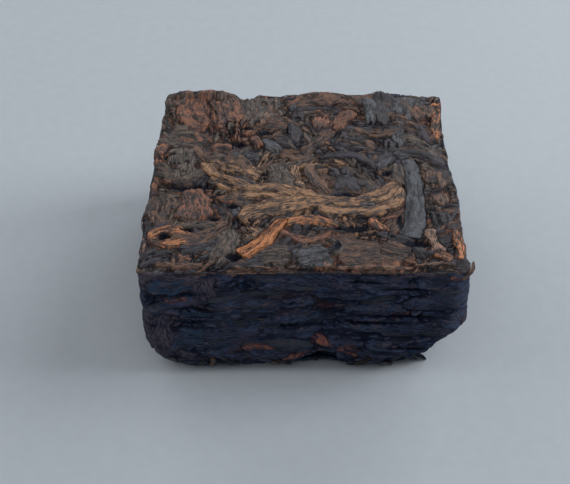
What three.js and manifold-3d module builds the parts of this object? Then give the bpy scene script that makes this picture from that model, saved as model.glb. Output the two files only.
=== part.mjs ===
// A small square brick of pressed ripe pu erh tea. Whole twisted leaves, buds and stalks are steamed and
// squeezed in a mould: the top is pressed flat by a plate, the sides are smooth and layered, and the
// edges round the bottom are soft. Millimetres, +Z up. The origin is on the ground under the middle of
// the brick, and the front faces -Y.
import * as THREE from "three";
import { mergeVertices } from "three/addons/utils/BufferGeometryUtils.js";
import Module from "manifold-3d";

// Driving dimensions
const SIDE = 25.2; // across the pressed top, both ways
const HEIGHT = 11.5; // from the ground to the plane of the plate that pressed the top
const RIM_DROP = 0.3; // from that plane down to the rim of the core
const FIELD_SINK = 0.6; // from the rim down to the core between the leaves
const GIVE = 0.25; // share of its rise past the plate that a leaf keeps
const BULGE = 0.25; // how far the sides swell half way up
const TOP_CORNER = 0.5; // radius of the upright edges at the top
const BOTTOM_CORNER = 3.2; // radius of the upright edges at the bottom
const TOP_EDGE = 0.3; // height over which the top edge rounds
const TOP_INSET = 0.1; // how far in it ends
const BOTTOM_EDGE = 2.7; // height over which the bottom edge rounds
const BOTTOM_INSET = 1.3; // how far in it ends
const ROLL_OVER = 1.0; // width of the rim of the top over which a surface starts to face outward
const FOOT = 6; // half width of the part of the underside that is quite flat
const DENT = 0.35; // deepest dent of the underside outside it
const LEDGE = 0.2; // how far the layers of the sides step in and out
const RIPPLE = 0.1; // finer unevenness of the sides
const CRUMPLE = 0.25; // unevenness of the field between the leaves of the top

// A pressed leaf or stalk
const CROWN_SHARE = 0.42; // height of its crown as a share of its width
const CROWN_LEAST = 0.1; // and what every crown has besides
const CROWN_MOST = 0.75; // highest crown
const KEEL = 0.9; // depth that it reaches into the core
const WOBBLE = 0.12; // unevenness of its edges as a share of its half width
const TEXTURE = 0.1; // unevenness of its crown
const OVERHANG = 0.1; // furthest that it reaches past the flat of a side
const SIDE_LIFT = -0.3; // how far a leaf of the sides is sunk
const LOWEST_EDGE = 0.6; // lowest that a leaf of the sides reaches

// How finely the core is cut up
const ACROSS = 18; // cells along a side
const UP = 10; // cells up a side
const LOWER_ROWS = 1.35; // power that draws the rows of cells together towards the bottom
const STRAND_SIDES = 6;
const STRAND_STEP = 2.1; // millimetres of leaf to one ring of its solid

const HALF = SIDE / 2;
const CORE_TOP = HEIGHT - RIM_DROP;

// Seeded draw from 0 to 1.
function seededDraw(seed) {
  let state = seed >>> 0;
  return () => {
    state = (state + 0x6d2b79f5) >>> 0;
    let mixed = Math.imul(state ^ (state >>> 15), 1 | state);
    mixed ^= mixed + Math.imul(mixed ^ (mixed >>> 7), 61 | mixed);
    return ((mixed ^ (mixed >>> 14)) >>> 0) / 4294967296;
  };
}

// One fixed number from -1 to 1 for each whole lattice point.
function latticeValue(i, j, k) {
  const wave = Math.sin(i * 127.1 + j * 311.7 + k * 74.7) * 43758.5453;
  return 2 * (wave - Math.floor(wave)) - 1;
}

// Smooth noise from -1 to 1, blended between the eight lattice points round (x, y, z).
function noise(x, y, z) {
  const cell = [x, y, z].map(Math.floor);
  const [fx, fy, fz] = [x, y, z].map((value, axis) => {
    const share = value - cell[axis];
    return share * share * (3 - 2 * share);
  });
  const corner = (i, j, k) => latticeValue(cell[0] + i, cell[1] + j, cell[2] + k);
  const { lerp } = THREE.MathUtils;
  const layer = (k) =>
    lerp(lerp(corner(0, 0, k), corner(1, 0, k), fx), lerp(corner(0, 1, k), corner(1, 1, k), fx), fy);
  return lerp(layer(0), layer(1), fz);
}

// A smooth hump of height 1 at centre that dies away over reach on either side.
function hump(value, centre, reach) {
  const away = Math.abs(value - centre) / reach;
  return away < 1 ? (1 - away * away) ** 2 : 0;
}

// How far each upright side stands out from its flat plane, as a run of humps along that side: leaves
// that fell short of the mould wall leave a dip, and thick stalks a swelling.
const OUTLINE = {
  front: [[-12, 1.6, 0.15], [-3.5, 3, -0.2], [1.5, 2.4, -0.3], [11.5, 1.4, 0.2]],
  back: [
    [-9, 3.2, 0.3], [-5.2, 1.3, -0.85], [-2.8, 1.6, -0.4],
    [1.8, 3.4, 0.2], [7.2, 1.2, 0.45], [10.4, 2, -0.3],
  ],
  left: [[3.5, 2.6, 0.25], [-5.5, 2.4, 0.3], [10.5, 2.4, -0.15]],
  right: [[1.6, 1.2, -0.35], [-3, 3, 0.1], [-11.6, 1, 0.2], [8.5, 2.5, -0.15]],
};

function outlineOffset(side, along) {
  return OUTLINE[side].reduce((sum, [centre, reach, depth]) => sum + depth * hump(along, centre, reach), 0);
}

// How far a height is into the rounding of the bottom and of the top edge, each from 0 to 1.
function edgeShares(z) {
  const { clamp } = THREE.MathUtils;
  return { low: clamp(1 - z / BOTTOM_EDGE, 0, 1), high: clamp(1 - (CORE_TOP - z) / TOP_EDGE, 0, 1) };
}

// How far in the wall stands at a height: the quarter ellipses of the top and bottom edges.
function edgeInset(z) {
  const { low, high } = edgeShares(z);
  return BOTTOM_INSET * (1 - Math.sqrt(1 - low * low)) + TOP_INSET * (1 - Math.sqrt(1 - high * high));
}

// The mould: maps a point on the plain box to the rounded brick, and gives the outward normal there. In
// plan, the square ring through the point becomes one with round corners, and the wall is then set in
// near top and bottom.
function mould(point) {
  const { clamp, lerp } = THREE.MathUtils;
  const rise = clamp(point.z / CORE_TOP, 0, 1);
  const corner = lerp(BOTTOM_CORNER, TOP_CORNER, Math.sqrt(rise));
  const inner = new THREE.Vector2(
    clamp(point.x, corner - HALF, HALF - corner),
    clamp(point.y, corner - HALF, HALF - corner),
  );
  const beyond = new THREE.Vector2(point.x, point.y).sub(inner);
  const plan = beyond.clone().normalize();
  const ring = Math.max(Math.abs(beyond.x), Math.abs(beyond.y));
  const flat = inner.addScaledVector(plan, ring).multiplyScalar(1 - edgeInset(point.z) / HALF);
  const outward = clamp((Math.max(Math.abs(point.x), Math.abs(point.y)) - HALF) / ROLL_OVER + 1, 0, 1);
  const { low, high } = edgeShares(point.z);
  return {
    rise,
    moulded: new THREE.Vector3(flat.x, flat.y, point.z),
    normal: new THREE.Vector3(plan.x * outward, plan.y * outward, high - low).normalize(),
  };
}

// How far a point of the brick lies out from the bare mould: the run of each side, the layers of leaf
// that show as level ridges on the sides, the coarse crumple of the top and the dents of the underside.
function reliefAt({ moulded: at, normal, rise }) {
  const upright = 1 - Math.abs(normal.z);
  const bulge = 4 * BULGE * rise * (1 - rise);
  const ledges = LEDGE * noise(at.x * 0.23, at.y * 0.23, at.z * 1.15);
  const ripples = RIPPLE * noise(at.x * 0.8, at.y * 0.8, at.z * 2.1);
  const rim = Math.min(1, Math.max(Math.abs(at.x), Math.abs(at.y)) / HALF);
  const field = CRUMPLE * noise(at.x * 0.7 + 9, at.y * 0.7, 4) - FIELD_SINK * (1 - rim ** 8);
  const run =
    Math.max(0, -normal.y) * outlineOffset("front", at.x) +
    Math.max(0, normal.y) * outlineOffset("back", at.x) +
    Math.max(0, -normal.x) * outlineOffset("left", at.y) +
    Math.max(0, normal.x) * outlineOffset("right", at.y);
  return upright * (bulge + ledges + ripples) + Math.max(0, normal.z) * field + run;
}

// The lower front right corner is chipped: what stands past a slanting plane is brought back to it.
const CHIP = {
  normal: new THREE.Vector3(0.62, -0.38, -0.69).normalize(),
  reach: 9.05, // how far out from the origin the plane lies
  rough: 0.25, // unevenness of the broken face
  depth: 0.85, // share of what stands past the plane that is gone
};

function chipped(point) {
  const over = point.dot(CHIP.normal) - CHIP.reach + CHIP.rough * noise(point.x, point.y, point.z);
  return over > 0 ? point.addScaledVector(CHIP.normal, -CHIP.depth * over) : point;
}

// The underside rests on its flat middle and dips here and there round it.
function undersideDent(point) {
  const fromMiddle = Math.max(Math.abs(point.x), Math.abs(point.y)) - FOOT;
  const dent = DENT * Math.max(0, noise(point.x * 0.5, point.y * 0.5, 20));
  return dent * THREE.MathUtils.clamp(fromMiddle, 0, 1);
}

// The skin of the finished core over a point of the plain box, out by a further distance.
function skin(point, out = 0) {
  const place = mould(point);
  const at = chipped(place.moulded.clone().addScaledVector(place.normal, reliefAt(place) + out));
  at.z += undersideDent(at) * Math.max(0, -place.normal.z);
  at.z = Math.max(0, Math.min(at.z, HEIGHT + GIVE * (at.z - HEIGHT)));
  return at;
}

// Moves every vertex of a geometry by a function of its place.
function mapVertices(geometry, change) {
  const positions = geometry.getAttribute("position");
  const at = new THREE.Vector3();
  for (let i = 0; i < positions.count; i++) {
    at.fromBufferAttribute(positions, i);
    const moved = change(at);
    positions.setXYZ(i, moved.x, moved.y, moved.z);
  }
  return geometry;
}

function coreGeometry() {
  const block = new THREE.BoxGeometry(SIDE, SIDE, CORE_TOP, ACROSS, ACROSS, UP);
  block.translate(0, 0, CORE_TOP / 2);
  return mapVertices(block, (at) => {
    at.z = CORE_TOP * Math.max(0, at.z / CORE_TOP) ** LOWER_ROWS;
    return skin(at);
  });
}

// The five faces that leaves lie on: a place (across, along) on a face is a point of the plain box.
const FACES = {
  top: (across, along) => new THREE.Vector3(across, along, CORE_TOP),
  front: (across, along) => new THREE.Vector3(across, -HALF, along),
  back: (across, along) => new THREE.Vector3(-across, HALF, along),
  right: (across, along) => new THREE.Vector3(HALF, across, along),
  left: (across, along) => new THREE.Vector3(-HALF, -across, along),
};

// Half width of a strand as a share of its widest, from one end at 0 to the other at 1. A stalk is cut
// off blunt and a leaf closes to a narrow tip.
const ENDS = {
  stalk: (t) => Math.min(1, 0.72 + 6 * Math.min(t, 1 - t)),
  leaf: (t) => Math.sqrt(Math.max(0.1, 1 - (2 * t - 1) ** 4)),
};

// One pressed strand: a closed cylinder drawn out along its bow and laid on a face. Its upper half is
// flattened to a low crown and its lower half is a deep keel in the core.
function strandGeometry(strand) {
  const { face = "top", from, to, bow = 0, width, endWidth = width, lift = 0, shape = "leaf" } = strand;
  const start = new THREE.Vector2(...from);
  const end = new THREE.Vector2(...to);
  const chord = end.clone().sub(start);
  const sideways = new THREE.Vector2(-chord.y, chord.x).normalize();
  const middle = start.clone().lerp(end, 0.5).addScaledVector(sideways, 2 * bow);
  const path = new THREE.QuadraticBezierCurve(start, middle, end);
  const steps = Math.max(3, Math.round(path.getLength() / STRAND_STEP));
  const crown = Math.min(CROWN_MOST, CROWN_SHARE * Math.min(width, endWidth) + CROWN_LEAST);
  const limit = HALF + OVERHANG;
  const [lowest, highest] = face === "top" ? [-limit, limit] : [LOWEST_EDGE, CORE_TOP];
  const drawn = new THREE.CylinderGeometry(1, 1, 1, STRAND_SIDES, steps, false, Math.PI / STRAND_SIDES);
  return mapVertices(drawn, (at) => {
    const t = 0.5 + at.y;
    const centre = path.getPoint(t);
    const ahead = path.getTangent(t);
    const half = (THREE.MathUtils.lerp(width, endWidth, t) / 2) * ENDS[shape](t);
    const across = at.x * half * (1 + WOBBLE * noise(centre.x * 1.3, centre.y * 1.3, at.x * 3));
    const u = THREE.MathUtils.clamp(centre.x + ahead.y * across, -limit, limit);
    const v = THREE.MathUtils.clamp(centre.y - ahead.x * across, lowest, highest);
    const out = at.z > 0 ? at.z * crown + TEXTURE * noise(u * 1.1, v * 1.1, 7) : at.z * KEEL;
    return skin(FACES[face](u, v), out + lift);
  });
}

// The leaves, buds and stalks of the top that stand out one by one, from the lowest to the ones that lie
// over the rest. Places are (x, y) on the top, and bow is how far the middle bends to the left of the way
// it runs.
const TOP_STRANDS = [
  // flat leaves under the rest
  { from: [-9.9, 12.2], to: [-9.0, 7.6], bow: 0.3, width: 3.2, lift: -0.15 },
  { from: [-3.5, 12.0], to: [-3.0, 7.4], width: 3.4, lift: -0.1 },
  { from: [-0.4, 11.7], to: [5.0, 11.4], width: 1.9 },
  { from: [10.2, 12.0], to: [9.4, 8.4], width: 3.2, lift: -0.2 },
  { from: [-12.0, 5.6], to: [-8.4, 5.2], width: 2.3, lift: -0.1 },
  { from: [-10.9, 3.8], to: [-10.6, -0.9], width: 2.7, lift: -0.1 },
  { from: [-11.5, -2.8], to: [-11.3, -6.9], width: 2.0 },
  { from: [4.4, 6.3], to: [3.0, 4.0], width: 2.2, lift: -0.2 },
  { from: [11.2, 0.6], to: [11.3, -3.4], width: 1.9, lift: -0.1 },
  { from: [11.0, -4.4], to: [11.3, -6.9], width: 1.7, lift: -0.1 },
  { from: [-3.9, -10.9], to: [-1.1, -10.5], width: 2.1, lift: -0.05 },
  { from: [-0.6, -11.4], to: [2.0, -10.5], width: 2.1, lift: -0.1 },
  { from: [2.8, -10.7], to: [8.0, -10.3], width: 2.9, lift: -0.05 },
  { from: [-11.9, -10.9], to: [-7.6, -9.9], width: 1.3, lift: -0.1 },
  // twisted leaves of the back half
  { from: [-11.4, 11.0], to: [-9.2, 6.4], bow: -0.4, width: 1.2, lift: 0.1 },
  { from: [-7.4, 12.0], to: [-6.6, 7.9], width: 2.2 },
  { from: [-0.9, 11.6], to: [-0.7, 4.0], bow: 0.4, width: 1.7 },
  { from: [1.2, 10.4], to: [1.5, 7.0], bow: 0.3, width: 1.6 },
  { from: [6.0, 12.3], to: [6.4, 7.6], width: 1.1, lift: 0.05 },
  { from: [7.3, 12.4], to: [7.3, 7.6], bow: -0.2, width: 1.3 },
  { from: [12.0, 10.8], to: [11.7, 5.6], width: 1.2, lift: 0.05 },
  { from: [4.7, 10.1], to: [0.0, 3.0], bow: -0.4, width: 1.5, lift: 0.1 },
  { from: [4.6, 7.2], to: [8.7, 6.9], bow: -0.8, width: 1.1, lift: 0.1 },
  { from: [9.2, 5.8], to: [11.8, 1.6], bow: 0.4, width: 1.3, lift: -0.05 },
  { from: [7.6, 5.6], to: [6.4, 1.1], bow: 0.3, width: 1.1 },
  { from: [-12.0, 4.6], to: [-11.9, 1.2], width: 1.1, lift: 0.05 },
  { from: [-8.0, 4.5], to: [-6.3, 4.0], width: 1.7, lift: 0.05 },
  { from: [-9.4, 4.4], to: [-8.2, 1.8], bow: -0.2, width: 1.2 },
  { from: [-4.3, 5.9], to: [-2.2, 3.2], bow: 0.2, width: 1.2 },
  { from: [-5.9, 3.2], to: [-4.6, 0.6], width: 1.3 },
  { from: [-2.2, 3.2], to: [1.0, 2.4], bow: -0.4, width: 1.1, lift: 0.05 },
  // the folded round leaf and the arches over it
  { from: [3.9, 1.5], to: [3.9, -2.4], width: 3.7, lift: 0 },
  { from: [1.3, 2.5], to: [6.4, 0.9], bow: 1.2, width: 1.2, lift: 0.1 },
  { from: [6.4, 0.9], to: [9.2, 2.9], bow: 0.5, width: 1.1, lift: 0.05 },
  { from: [9.0, 3.1], to: [12.2, 0.9], bow: 0.6, width: 1.2 },
  // the broad gold leaves of the middle
  { from: [-8.3, 1.6], to: [-3.6, -0.2], bow: 0.4, width: 1.8, lift: 0.05 },
  { from: [-1.9, 1.9], to: [-0.6, -2.6], bow: -0.4, width: 3.2, lift: 0.05 },
  { from: [0.3, 1.5], to: [2.3, -2.9], bow: -0.2, width: 1.1, lift: 0.05 },
  { from: [-8.6, 1.4], to: [-2.9, -2.6], bow: -0.5, width: 1.0, lift: 0.15 },
  { from: [-4.4, -1.9], to: [1.3, -3.0], bow: 0.3, width: 1.2, lift: 0.15 },
  { from: [-9.2, -2.0], to: [-8.9, -6.1], width: 2.5, lift: 0.1 },
  { from: [-10.2, -6.9], to: [-7.0, -7.0], width: 1.0 },
  { from: [-7.3, -3.2], to: [-5.6, -3.6], width: 0.9, lift: 0.1 },
  { from: [7.0, -4.7], to: [1.2, -4.7], bow: 0.5, width: 1.2, lift: 0.15 },
  { from: [-5.3, -6.0], to: [3.2, -3.6], bow: 0.5, width: 2.4, endWidth: 1.6, lift: 0.25 },
  { from: [2.4, -3.8], to: [8.2, -1.3], bow: -0.8, width: 1.5, lift: 0.25 },
  { from: [8.3, -1.3], to: [6.3, -4.9], bow: 0.8, width: 1.1, lift: 0.15 },
  // the ring at the left, and the strands of the front
  { from: [-12.1, -8.7], to: [-9.8, -8.6], bow: 1.2, width: 0.8, lift: 0.1 },
  { from: [-12.1, -8.4], to: [-9.8, -8.9], bow: -1.1, width: 0.8, lift: 0.1 },
  { from: [-10.0, -8.9], to: [-6.0, -6.6], bow: -0.7, width: 1.5, lift: 0.1 },
  { from: [-9.7, -11.1], to: [-8.6, -11.0], width: 0.9, lift: 0.05 },
  { from: [-5.7, -7.2], to: [-7.0, -12.0], bow: 0.5, width: 1.8 },
  { from: [-1.8, -6.9], to: [3.0, -7.2], bow: 0.8, width: 1.1, lift: 0.15 },
  { from: [-1.9, -7.4], to: [2.4, -8.0], bow: -0.9, width: 0.9, lift: 0.1 },
  { from: [2.0, -8.4], to: [2.4, -11.0], bow: 0.6, width: 0.7, lift: 0.1 },
  { from: [4.9, -7.3], to: [9.6, -11.6], bow: 0.9, width: 1.2 },
  { from: [5.5, -5.7], to: [7.0, -7.9], bow: -0.3, width: 0.9, lift: 0.1 },
  { from: [7.0, -7.9], to: [7.9, -5.6], bow: -0.5, width: 0.9, lift: 0.1 },
  { from: [9.9, -7.2], to: [11.2, -11.2], bow: -0.2, width: 1.1, lift: 0.1 },
  // the two stalks that lie over everything
  { from: [9.3, 2.0], to: [8.6, -8.4], bow: 0.6, width: 1.5, endWidth: 1.9, lift: 0.25, shape: "stalk" },
  { from: [-5.0, -10.5], to: [-1.4, -6.4], bow: -0.2, width: 1.8, endWidth: 1.0, lift: 0.3, shape: "stalk" },
];

// The leaves that show flat on the front, placed by (x, z) on it.
const FRONT_LEAVES = [
  { from: [-11.5, 9.3], to: [-8.0, 9.5], width: 1.6 },
  { from: [-10.8, 6.2], to: [-9.0, 1.3], bow: -0.3, width: 3.2 },
  { from: [-8.2, 7.3], to: [-3.4, 6.4], width: 2.8 },
  { from: [-7.4, 3.5], to: [-1.6, 3.1], bow: 0.2, width: 2.4 },
  { from: [-3.2, 8.9], to: [3.4, 7.7], bow: 0.3, width: 2.2 },
  { from: [0.2, 5.3], to: [7.8, 5.9], bow: -0.3, width: 2.1 },
  { from: [4.2, 8.2], to: [11.7, 8.7], bow: 0.3, width: 1.9 },
  { from: [-0.4, 1.7], to: [5.2, 2.3], bow: 0.4, width: 1.9 },
  { from: [5.4, 3.2], to: [11.0, 4.4], bow: -0.3, width: 2.0 },
].map((leaf) => ({ face: "front", lift: SIDE_LIFT, ...leaf }));

// The leaves seen edge on round the other sides run nearly level, one to a row, spread by a seeded draw.
const SIDE_SEEDS = { right: 29, back: 47, left: 71 };
const SIDE_ROWS = 4;
const LOWEST_LEAF = 1.8;
const HIGHEST_LEAF = CORE_TOP - 1.2;

function sideLeaves([face, seed]) {
  const draw = seededDraw(seed);
  const between = (low, high) => low + (high - low) * draw();
  return Array.from({ length: SIDE_ROWS }, (_, row) => {
    const level = THREE.MathUtils.lerp(LOWEST_LEAF, HIGHEST_LEAF, (row + between(0.2, 0.8)) / SIDE_ROWS);
    const length = between(8, 14);
    const start = between(1 - HALF, HALF - 1 - length);
    const end = THREE.MathUtils.clamp(level + between(-0.9, 0.9), LOWEST_LEAF, HIGHEST_LEAF);
    return {
      face,
      from: [start, level],
      to: [start + length, end],
      bow: between(-0.4, 0.4),
      width: between(1.7, 2.8),
      lift: SIDE_LIFT,
    };
  });
}

const wasm = await Module();
wasm.setup();

// A three.js geometry as a solid that can be joined.
function solidOf(geometry) {
  geometry.deleteAttribute("normal");
  geometry.deleteAttribute("uv");
  const merged = mergeVertices(geometry, 1e-4);
  const mesh = new wasm.Mesh({
    numProp: 3,
    vertProperties: merged.getAttribute("position").array,
    triVerts: new Uint32Array(merged.index.array),
  });
  return new wasm.Manifold(mesh);
}

// The outermost skin of a joined solid: small hollows that strands seal between them are filled.
function outerShell(solid) {
  return solid.decompose().reduce((largest, shell) => (shell.volume() > largest.volume() ? shell : largest));
}

// A joined solid as a three.js geometry again.
function geometryOf(solid) {
  const { numProp, numVert, vertProperties, triVerts } = solid.getMesh();
  const positions = new Float32Array(numVert * 3);
  for (let i = 0; i < numVert; i++) positions.set(vertProperties.subarray(i * numProp, i * numProp + 3), i * 3);
  const geometry = new THREE.BufferGeometry();
  geometry.setAttribute("position", new THREE.BufferAttribute(positions, 3));
  geometry.setIndex(new THREE.BufferAttribute(triVerts, 1));
  geometry.computeVertexNormals();
  return geometry;
}

function brickGeometry() {
  const strands = [...TOP_STRANDS, ...FRONT_LEAVES, ...Object.entries(SIDE_SEEDS).flatMap(sideLeaves)];
  const joined = strands.reduce(
    (whole, strand) => whole.add(solidOf(strandGeometry(strand))),
    solidOf(coreGeometry()),
  );
  return geometryOf(outerShell(joined));
}

const pressedTea = new THREE.MeshStandardMaterial({ color: 0x3a2c27, roughness: 0.72, metalness: 0 });
const brick = new THREE.Mesh(brickGeometry(), pressedTea);
brick.name = "tea_brick";

const part = new THREE.Group();
part.add(brick);

export default part;
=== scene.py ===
"""A small square brick of pressed ripe pu erh tea, dressed leaf by leaf.

A mould gives the outer form. The top, the four sides and the underside each have a flat chart, a grid of
heights. Fragments drawn by chance and listed leaves are pressed into a chart, each wherever it lies over
what is there, and the grid becomes one closed relief. Stalks, and the flakes along the rim and the foot, are
laid on it as closed pieces of their own. Sizes are in millimetres until a mesh is made, and the front faces
-Y.
"""
from __future__ import annotations

import sys
import logging
import math
from dataclasses import dataclass
from enum import Enum
from itertools import product

import bpy
import numpy as np
from mathutils import Matrix, Vector


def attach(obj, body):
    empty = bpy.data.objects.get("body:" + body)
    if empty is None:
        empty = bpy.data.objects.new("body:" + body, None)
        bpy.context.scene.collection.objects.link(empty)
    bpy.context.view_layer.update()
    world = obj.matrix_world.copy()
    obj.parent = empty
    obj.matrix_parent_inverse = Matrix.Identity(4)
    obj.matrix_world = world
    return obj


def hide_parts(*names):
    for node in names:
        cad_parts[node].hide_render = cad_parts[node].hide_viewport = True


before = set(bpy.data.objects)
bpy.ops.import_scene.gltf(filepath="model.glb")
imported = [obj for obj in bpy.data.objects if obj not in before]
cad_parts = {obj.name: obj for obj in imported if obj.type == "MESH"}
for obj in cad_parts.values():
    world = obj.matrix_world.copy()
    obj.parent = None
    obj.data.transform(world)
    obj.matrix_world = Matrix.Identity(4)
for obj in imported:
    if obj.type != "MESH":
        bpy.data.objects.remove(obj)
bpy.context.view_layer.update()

Array = np.ndarray
Triple = tuple[float, float, float]
Colour = Triple
MM = 0.001

log = logging.getLogger("tea_brick")


def lattice_value(cell: Array) -> Array:
    """Gives one fixed number from -1 to 1 for each whole lattice point: the fraction of a large sine.

    Args:
        cell: whole coordinates, with the three axes last.

    Returns:
        An array without the last axis.
    """
    wave = np.sin(cell @ np.array([127.1, 311.7, 74.7])) * 43758.5453
    return 2 * (wave - np.floor(wave)) - 1


def noise(points: Array) -> Array:
    """Smooth noise from -1 to 1: the eight lattice values round a point, blended by s * s * (3 - 2 s).

    Args:
        points: places, with the three axes last.

    Returns:
        The noise at each place.
    """
    cell = np.floor(points)
    share = points - cell
    share = share * share * (3 - 2 * share)
    total = np.zeros(points.shape[:-1])
    for corner in product((0, 1), repeat=3):
        step = np.array(corner)
        weight = np.where(step == 1, share, 1 - share).prod(axis=-1)
        total += weight * lattice_value(cell + step)
    return total


def layered_noise(points: Array, octaves: int) -> Array:
    """Adds octaves of noise, each at twice the frequency and half the height of the one before.

    Args:
        points: places, with the three axes last.
        octaves: how many to add.

    Returns:
        Noise from about -1 to 1.
    """
    total = sum(noise(points * 2**k + 7.3 * k) / 2**k for k in range(octaves))
    return total / (2 - 2 / 2**octaves)


def stack(*parts: Array | float) -> Array:
    """Broadcasts coordinates against each other and stacks them on a new last axis."""
    return np.stack(np.broadcast_arrays(*parts), axis=-1)


def soft_limit(value: Array, limit: float, give: float) -> Array:
    """Keeps a value under a limit: past limit - give it closes in on the limit exponentially.

    Args:
        value: what is limited.
        limit: what it never passes.
        give: distance below the limit at which it starts to slow.

    Returns:
        The limited value.
    """
    over = np.maximum(value - (limit - give), 0)
    return np.minimum(value, limit - give) + give * (1 - np.exp(-over / give))


# How far each upright side stands out from its flat plane: humps of (centre, reach, height) along the side.
OUTLINE = {
    "front": ((0, 15, -0.28), (-12, 1.6, 0.15), (-3.5, 3, -0.1), (1.5, 2.4, -0.2), (11.5, 1.4, 0.2)),
    "back": (
        (-11.4, 1.6, 0.5), (-8.6, 3.4, 0.75), (-5.2, 1.3, -0.7), (-2.8, 1.6, -0.2),
        (1.8, 3.4, 0.4), (7.2, 1.4, 0.55), (11.2, 2.4, -0.3),
    ),
    "left": ((3.5, 2.6, 0.25), (-5.5, 2.4, 0.3), (10.5, 2.4, -0.15)),
    "right": ((1.4, 1.2, -0.15), (-3, 3, 0.1), (-11.6, 1, 0.2), (5.0, 8, -0.42)),
}


def outline_offset(side: str, along: Array) -> Array:
    """Sums the humps of a side, each (1 - d * d) squared of the distance d to its centre over its reach."""
    total = np.zeros_like(along)
    for centre, reach, height in OUTLINE[side]:
        away = np.minimum(np.abs(along - centre) / reach, 1)
        total += height * (1 - away**2) ** 2
    return total


@dataclass(frozen=True)
class Mould:
    """The form that the tea is pressed in. It maps a plain box to the rounded, slightly swollen brick.

    Grains are cycles of noise a millimetre along the three axes. The chip is the broken lower front right
    corner, a plane given by its normal and its distance from the origin. Back_fade is the share of the back
    edge's notches that is gone at the ground.
    """

    side: float = 25.5
    height: float = 11.5
    rim_drop: float = 0.2
    bulge: float = 0.08
    top_corner: float = 0.5
    bottom_corner: float = 4.4
    top_edge: float = 0.3
    top_inset: float = 0.1
    bottom_edge: float = 3.4
    bottom_inset: float = 1.75
    roll_over: float = 2.2
    ledge: float = 0.12
    ledge_grain: Triple = (0.23, 0.23, 1.15)
    ripple: float = 0.06
    ripple_grain: Triple = (0.8, 0.8, 2.1)
    chip_normal: Triple = (0.62, -0.38, -0.69)
    chip_reach: float = 8.65
    chip_rough: float = 0.25
    chip_depth: float = 0.85
    ground_give: float = 0.06
    back_fade: float = 0.6

    @property
    def half(self) -> float:
        """Half of the side."""
        return self.side / 2

    @property
    def core_top(self) -> float:
        """Height of the plain box."""
        return self.height - self.rim_drop

    def edge_shares(self, z: Array) -> tuple[Array, Array]:
        """Says how far a height is into the rounding of the bottom and of the top edge, each 0 to 1."""
        low = np.clip(1 - z / self.bottom_edge, 0, 1)
        high = np.clip(1 - (self.core_top - z) / self.top_edge, 0, 1)
        return low, high

    def place(self, box: Array) -> tuple[Array, Array, Array]:
        """Maps box points: the square ring through a point gets round corners and is set in by an ellipse.

        Args:
            box: points of the plain box, with the three axes last.

        Returns:
            The moulded points, their outward normals and their rise from 0 at the ground to 1 at the top.
        """
        flat = box[..., :2]
        z = box[..., 2]
        rise = np.clip(z / self.core_top, 0, 1)
        corner = self.bottom_corner + (self.top_corner - self.bottom_corner) * np.sqrt(rise)
        reach = (self.half - corner)[..., None]
        inner = np.clip(flat, -reach, reach)
        beyond = flat - inner
        plan = beyond / np.maximum(np.linalg.norm(beyond, axis=-1, keepdims=True), 1e-9)
        ring = np.abs(beyond).max(axis=-1, keepdims=True)
        low, high = self.edge_shares(z)
        inset = self.bottom_inset * (1 - np.sqrt(1 - low**2))
        inset = inset + self.top_inset * (1 - np.sqrt(1 - high**2))
        moulded = (inner + plan * ring) * (1 - inset / self.half)[..., None]
        outward = np.clip((np.abs(flat).max(axis=-1) - self.half) / self.roll_over + 1, 0, 1)
        normal = np.concatenate([plan * outward[..., None], (high - low)[..., None]], axis=-1)
        normal /= np.maximum(np.linalg.norm(normal, axis=-1, keepdims=True), 1e-9)
        return np.concatenate([moulded, z[..., None]], axis=-1), normal, rise

    def relief(self, at: Array, normal: Array, rise: Array) -> Array:
        """Sums what the sides stand out by: swell, level ledges and ripples, and the run of each side."""
        x, y = at[..., 0], at[..., 1]
        upright = 1 - np.abs(normal[..., 2])
        swell = 4 * self.bulge * rise * (1 - rise)
        ledges = self.ledge * noise(at * np.array(self.ledge_grain))
        ripples = self.ripple * noise(at * np.array(self.ripple_grain))
        back = 1 - self.back_fade * (1 - rise)
        run = (
            np.maximum(0, -normal[..., 1]) * outline_offset("front", x)
            + np.maximum(0, normal[..., 1]) * outline_offset("back", x) * back
            + np.maximum(0, -normal[..., 0]) * outline_offset("left", y)
            + np.maximum(0, normal[..., 0]) * outline_offset("right", y)
        )
        return upright * (swell + ledges + ripples) + run

    def skin(self, box: Array, out: Array) -> Array:
        """Gives the point that lies a distance out from the moulded surface, over a point of the plain box.

        What the surface has beyond the plane of the chip is moved back along its normal, and nothing goes
        below the ground: under ground_give a height z becomes ground_give * exp(z / ground_give - 1).

        Args:
            box: points of the plain box, with the three axes last.
            out: distance out from the surface at each.

        Returns:
            The points of the brick.
        """
        at, normal, rise = self.place(box)
        at = at + normal * self.relief(at, normal, rise)[..., None]
        chip = np.array(self.chip_normal) / np.linalg.norm(self.chip_normal)
        over = np.maximum(at @ chip - self.chip_reach + self.chip_rough * noise(at), 0)
        at = at + normal * np.asarray(out)[..., None] - self.chip_depth * over[..., None] * chip
        z = at[..., 2]
        low = self.ground_give * np.exp(np.minimum(z, self.ground_give) / self.ground_give - 1)
        at[..., 2] = np.where(z < self.ground_give, low, z)
        return at


class Kind(Enum):
    """The sorts of leaf that are told apart by their colour. Laid leaves of one sort are one piece."""

    INK = "ink"
    UMBER = "umber"
    RUST = "rust"
    OLIVE = "olive"
    GOLD = "gold"
    AMBER = "amber"
    ASH = "ash"
    TAN = "tan"
    COAL = "coal"


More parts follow.
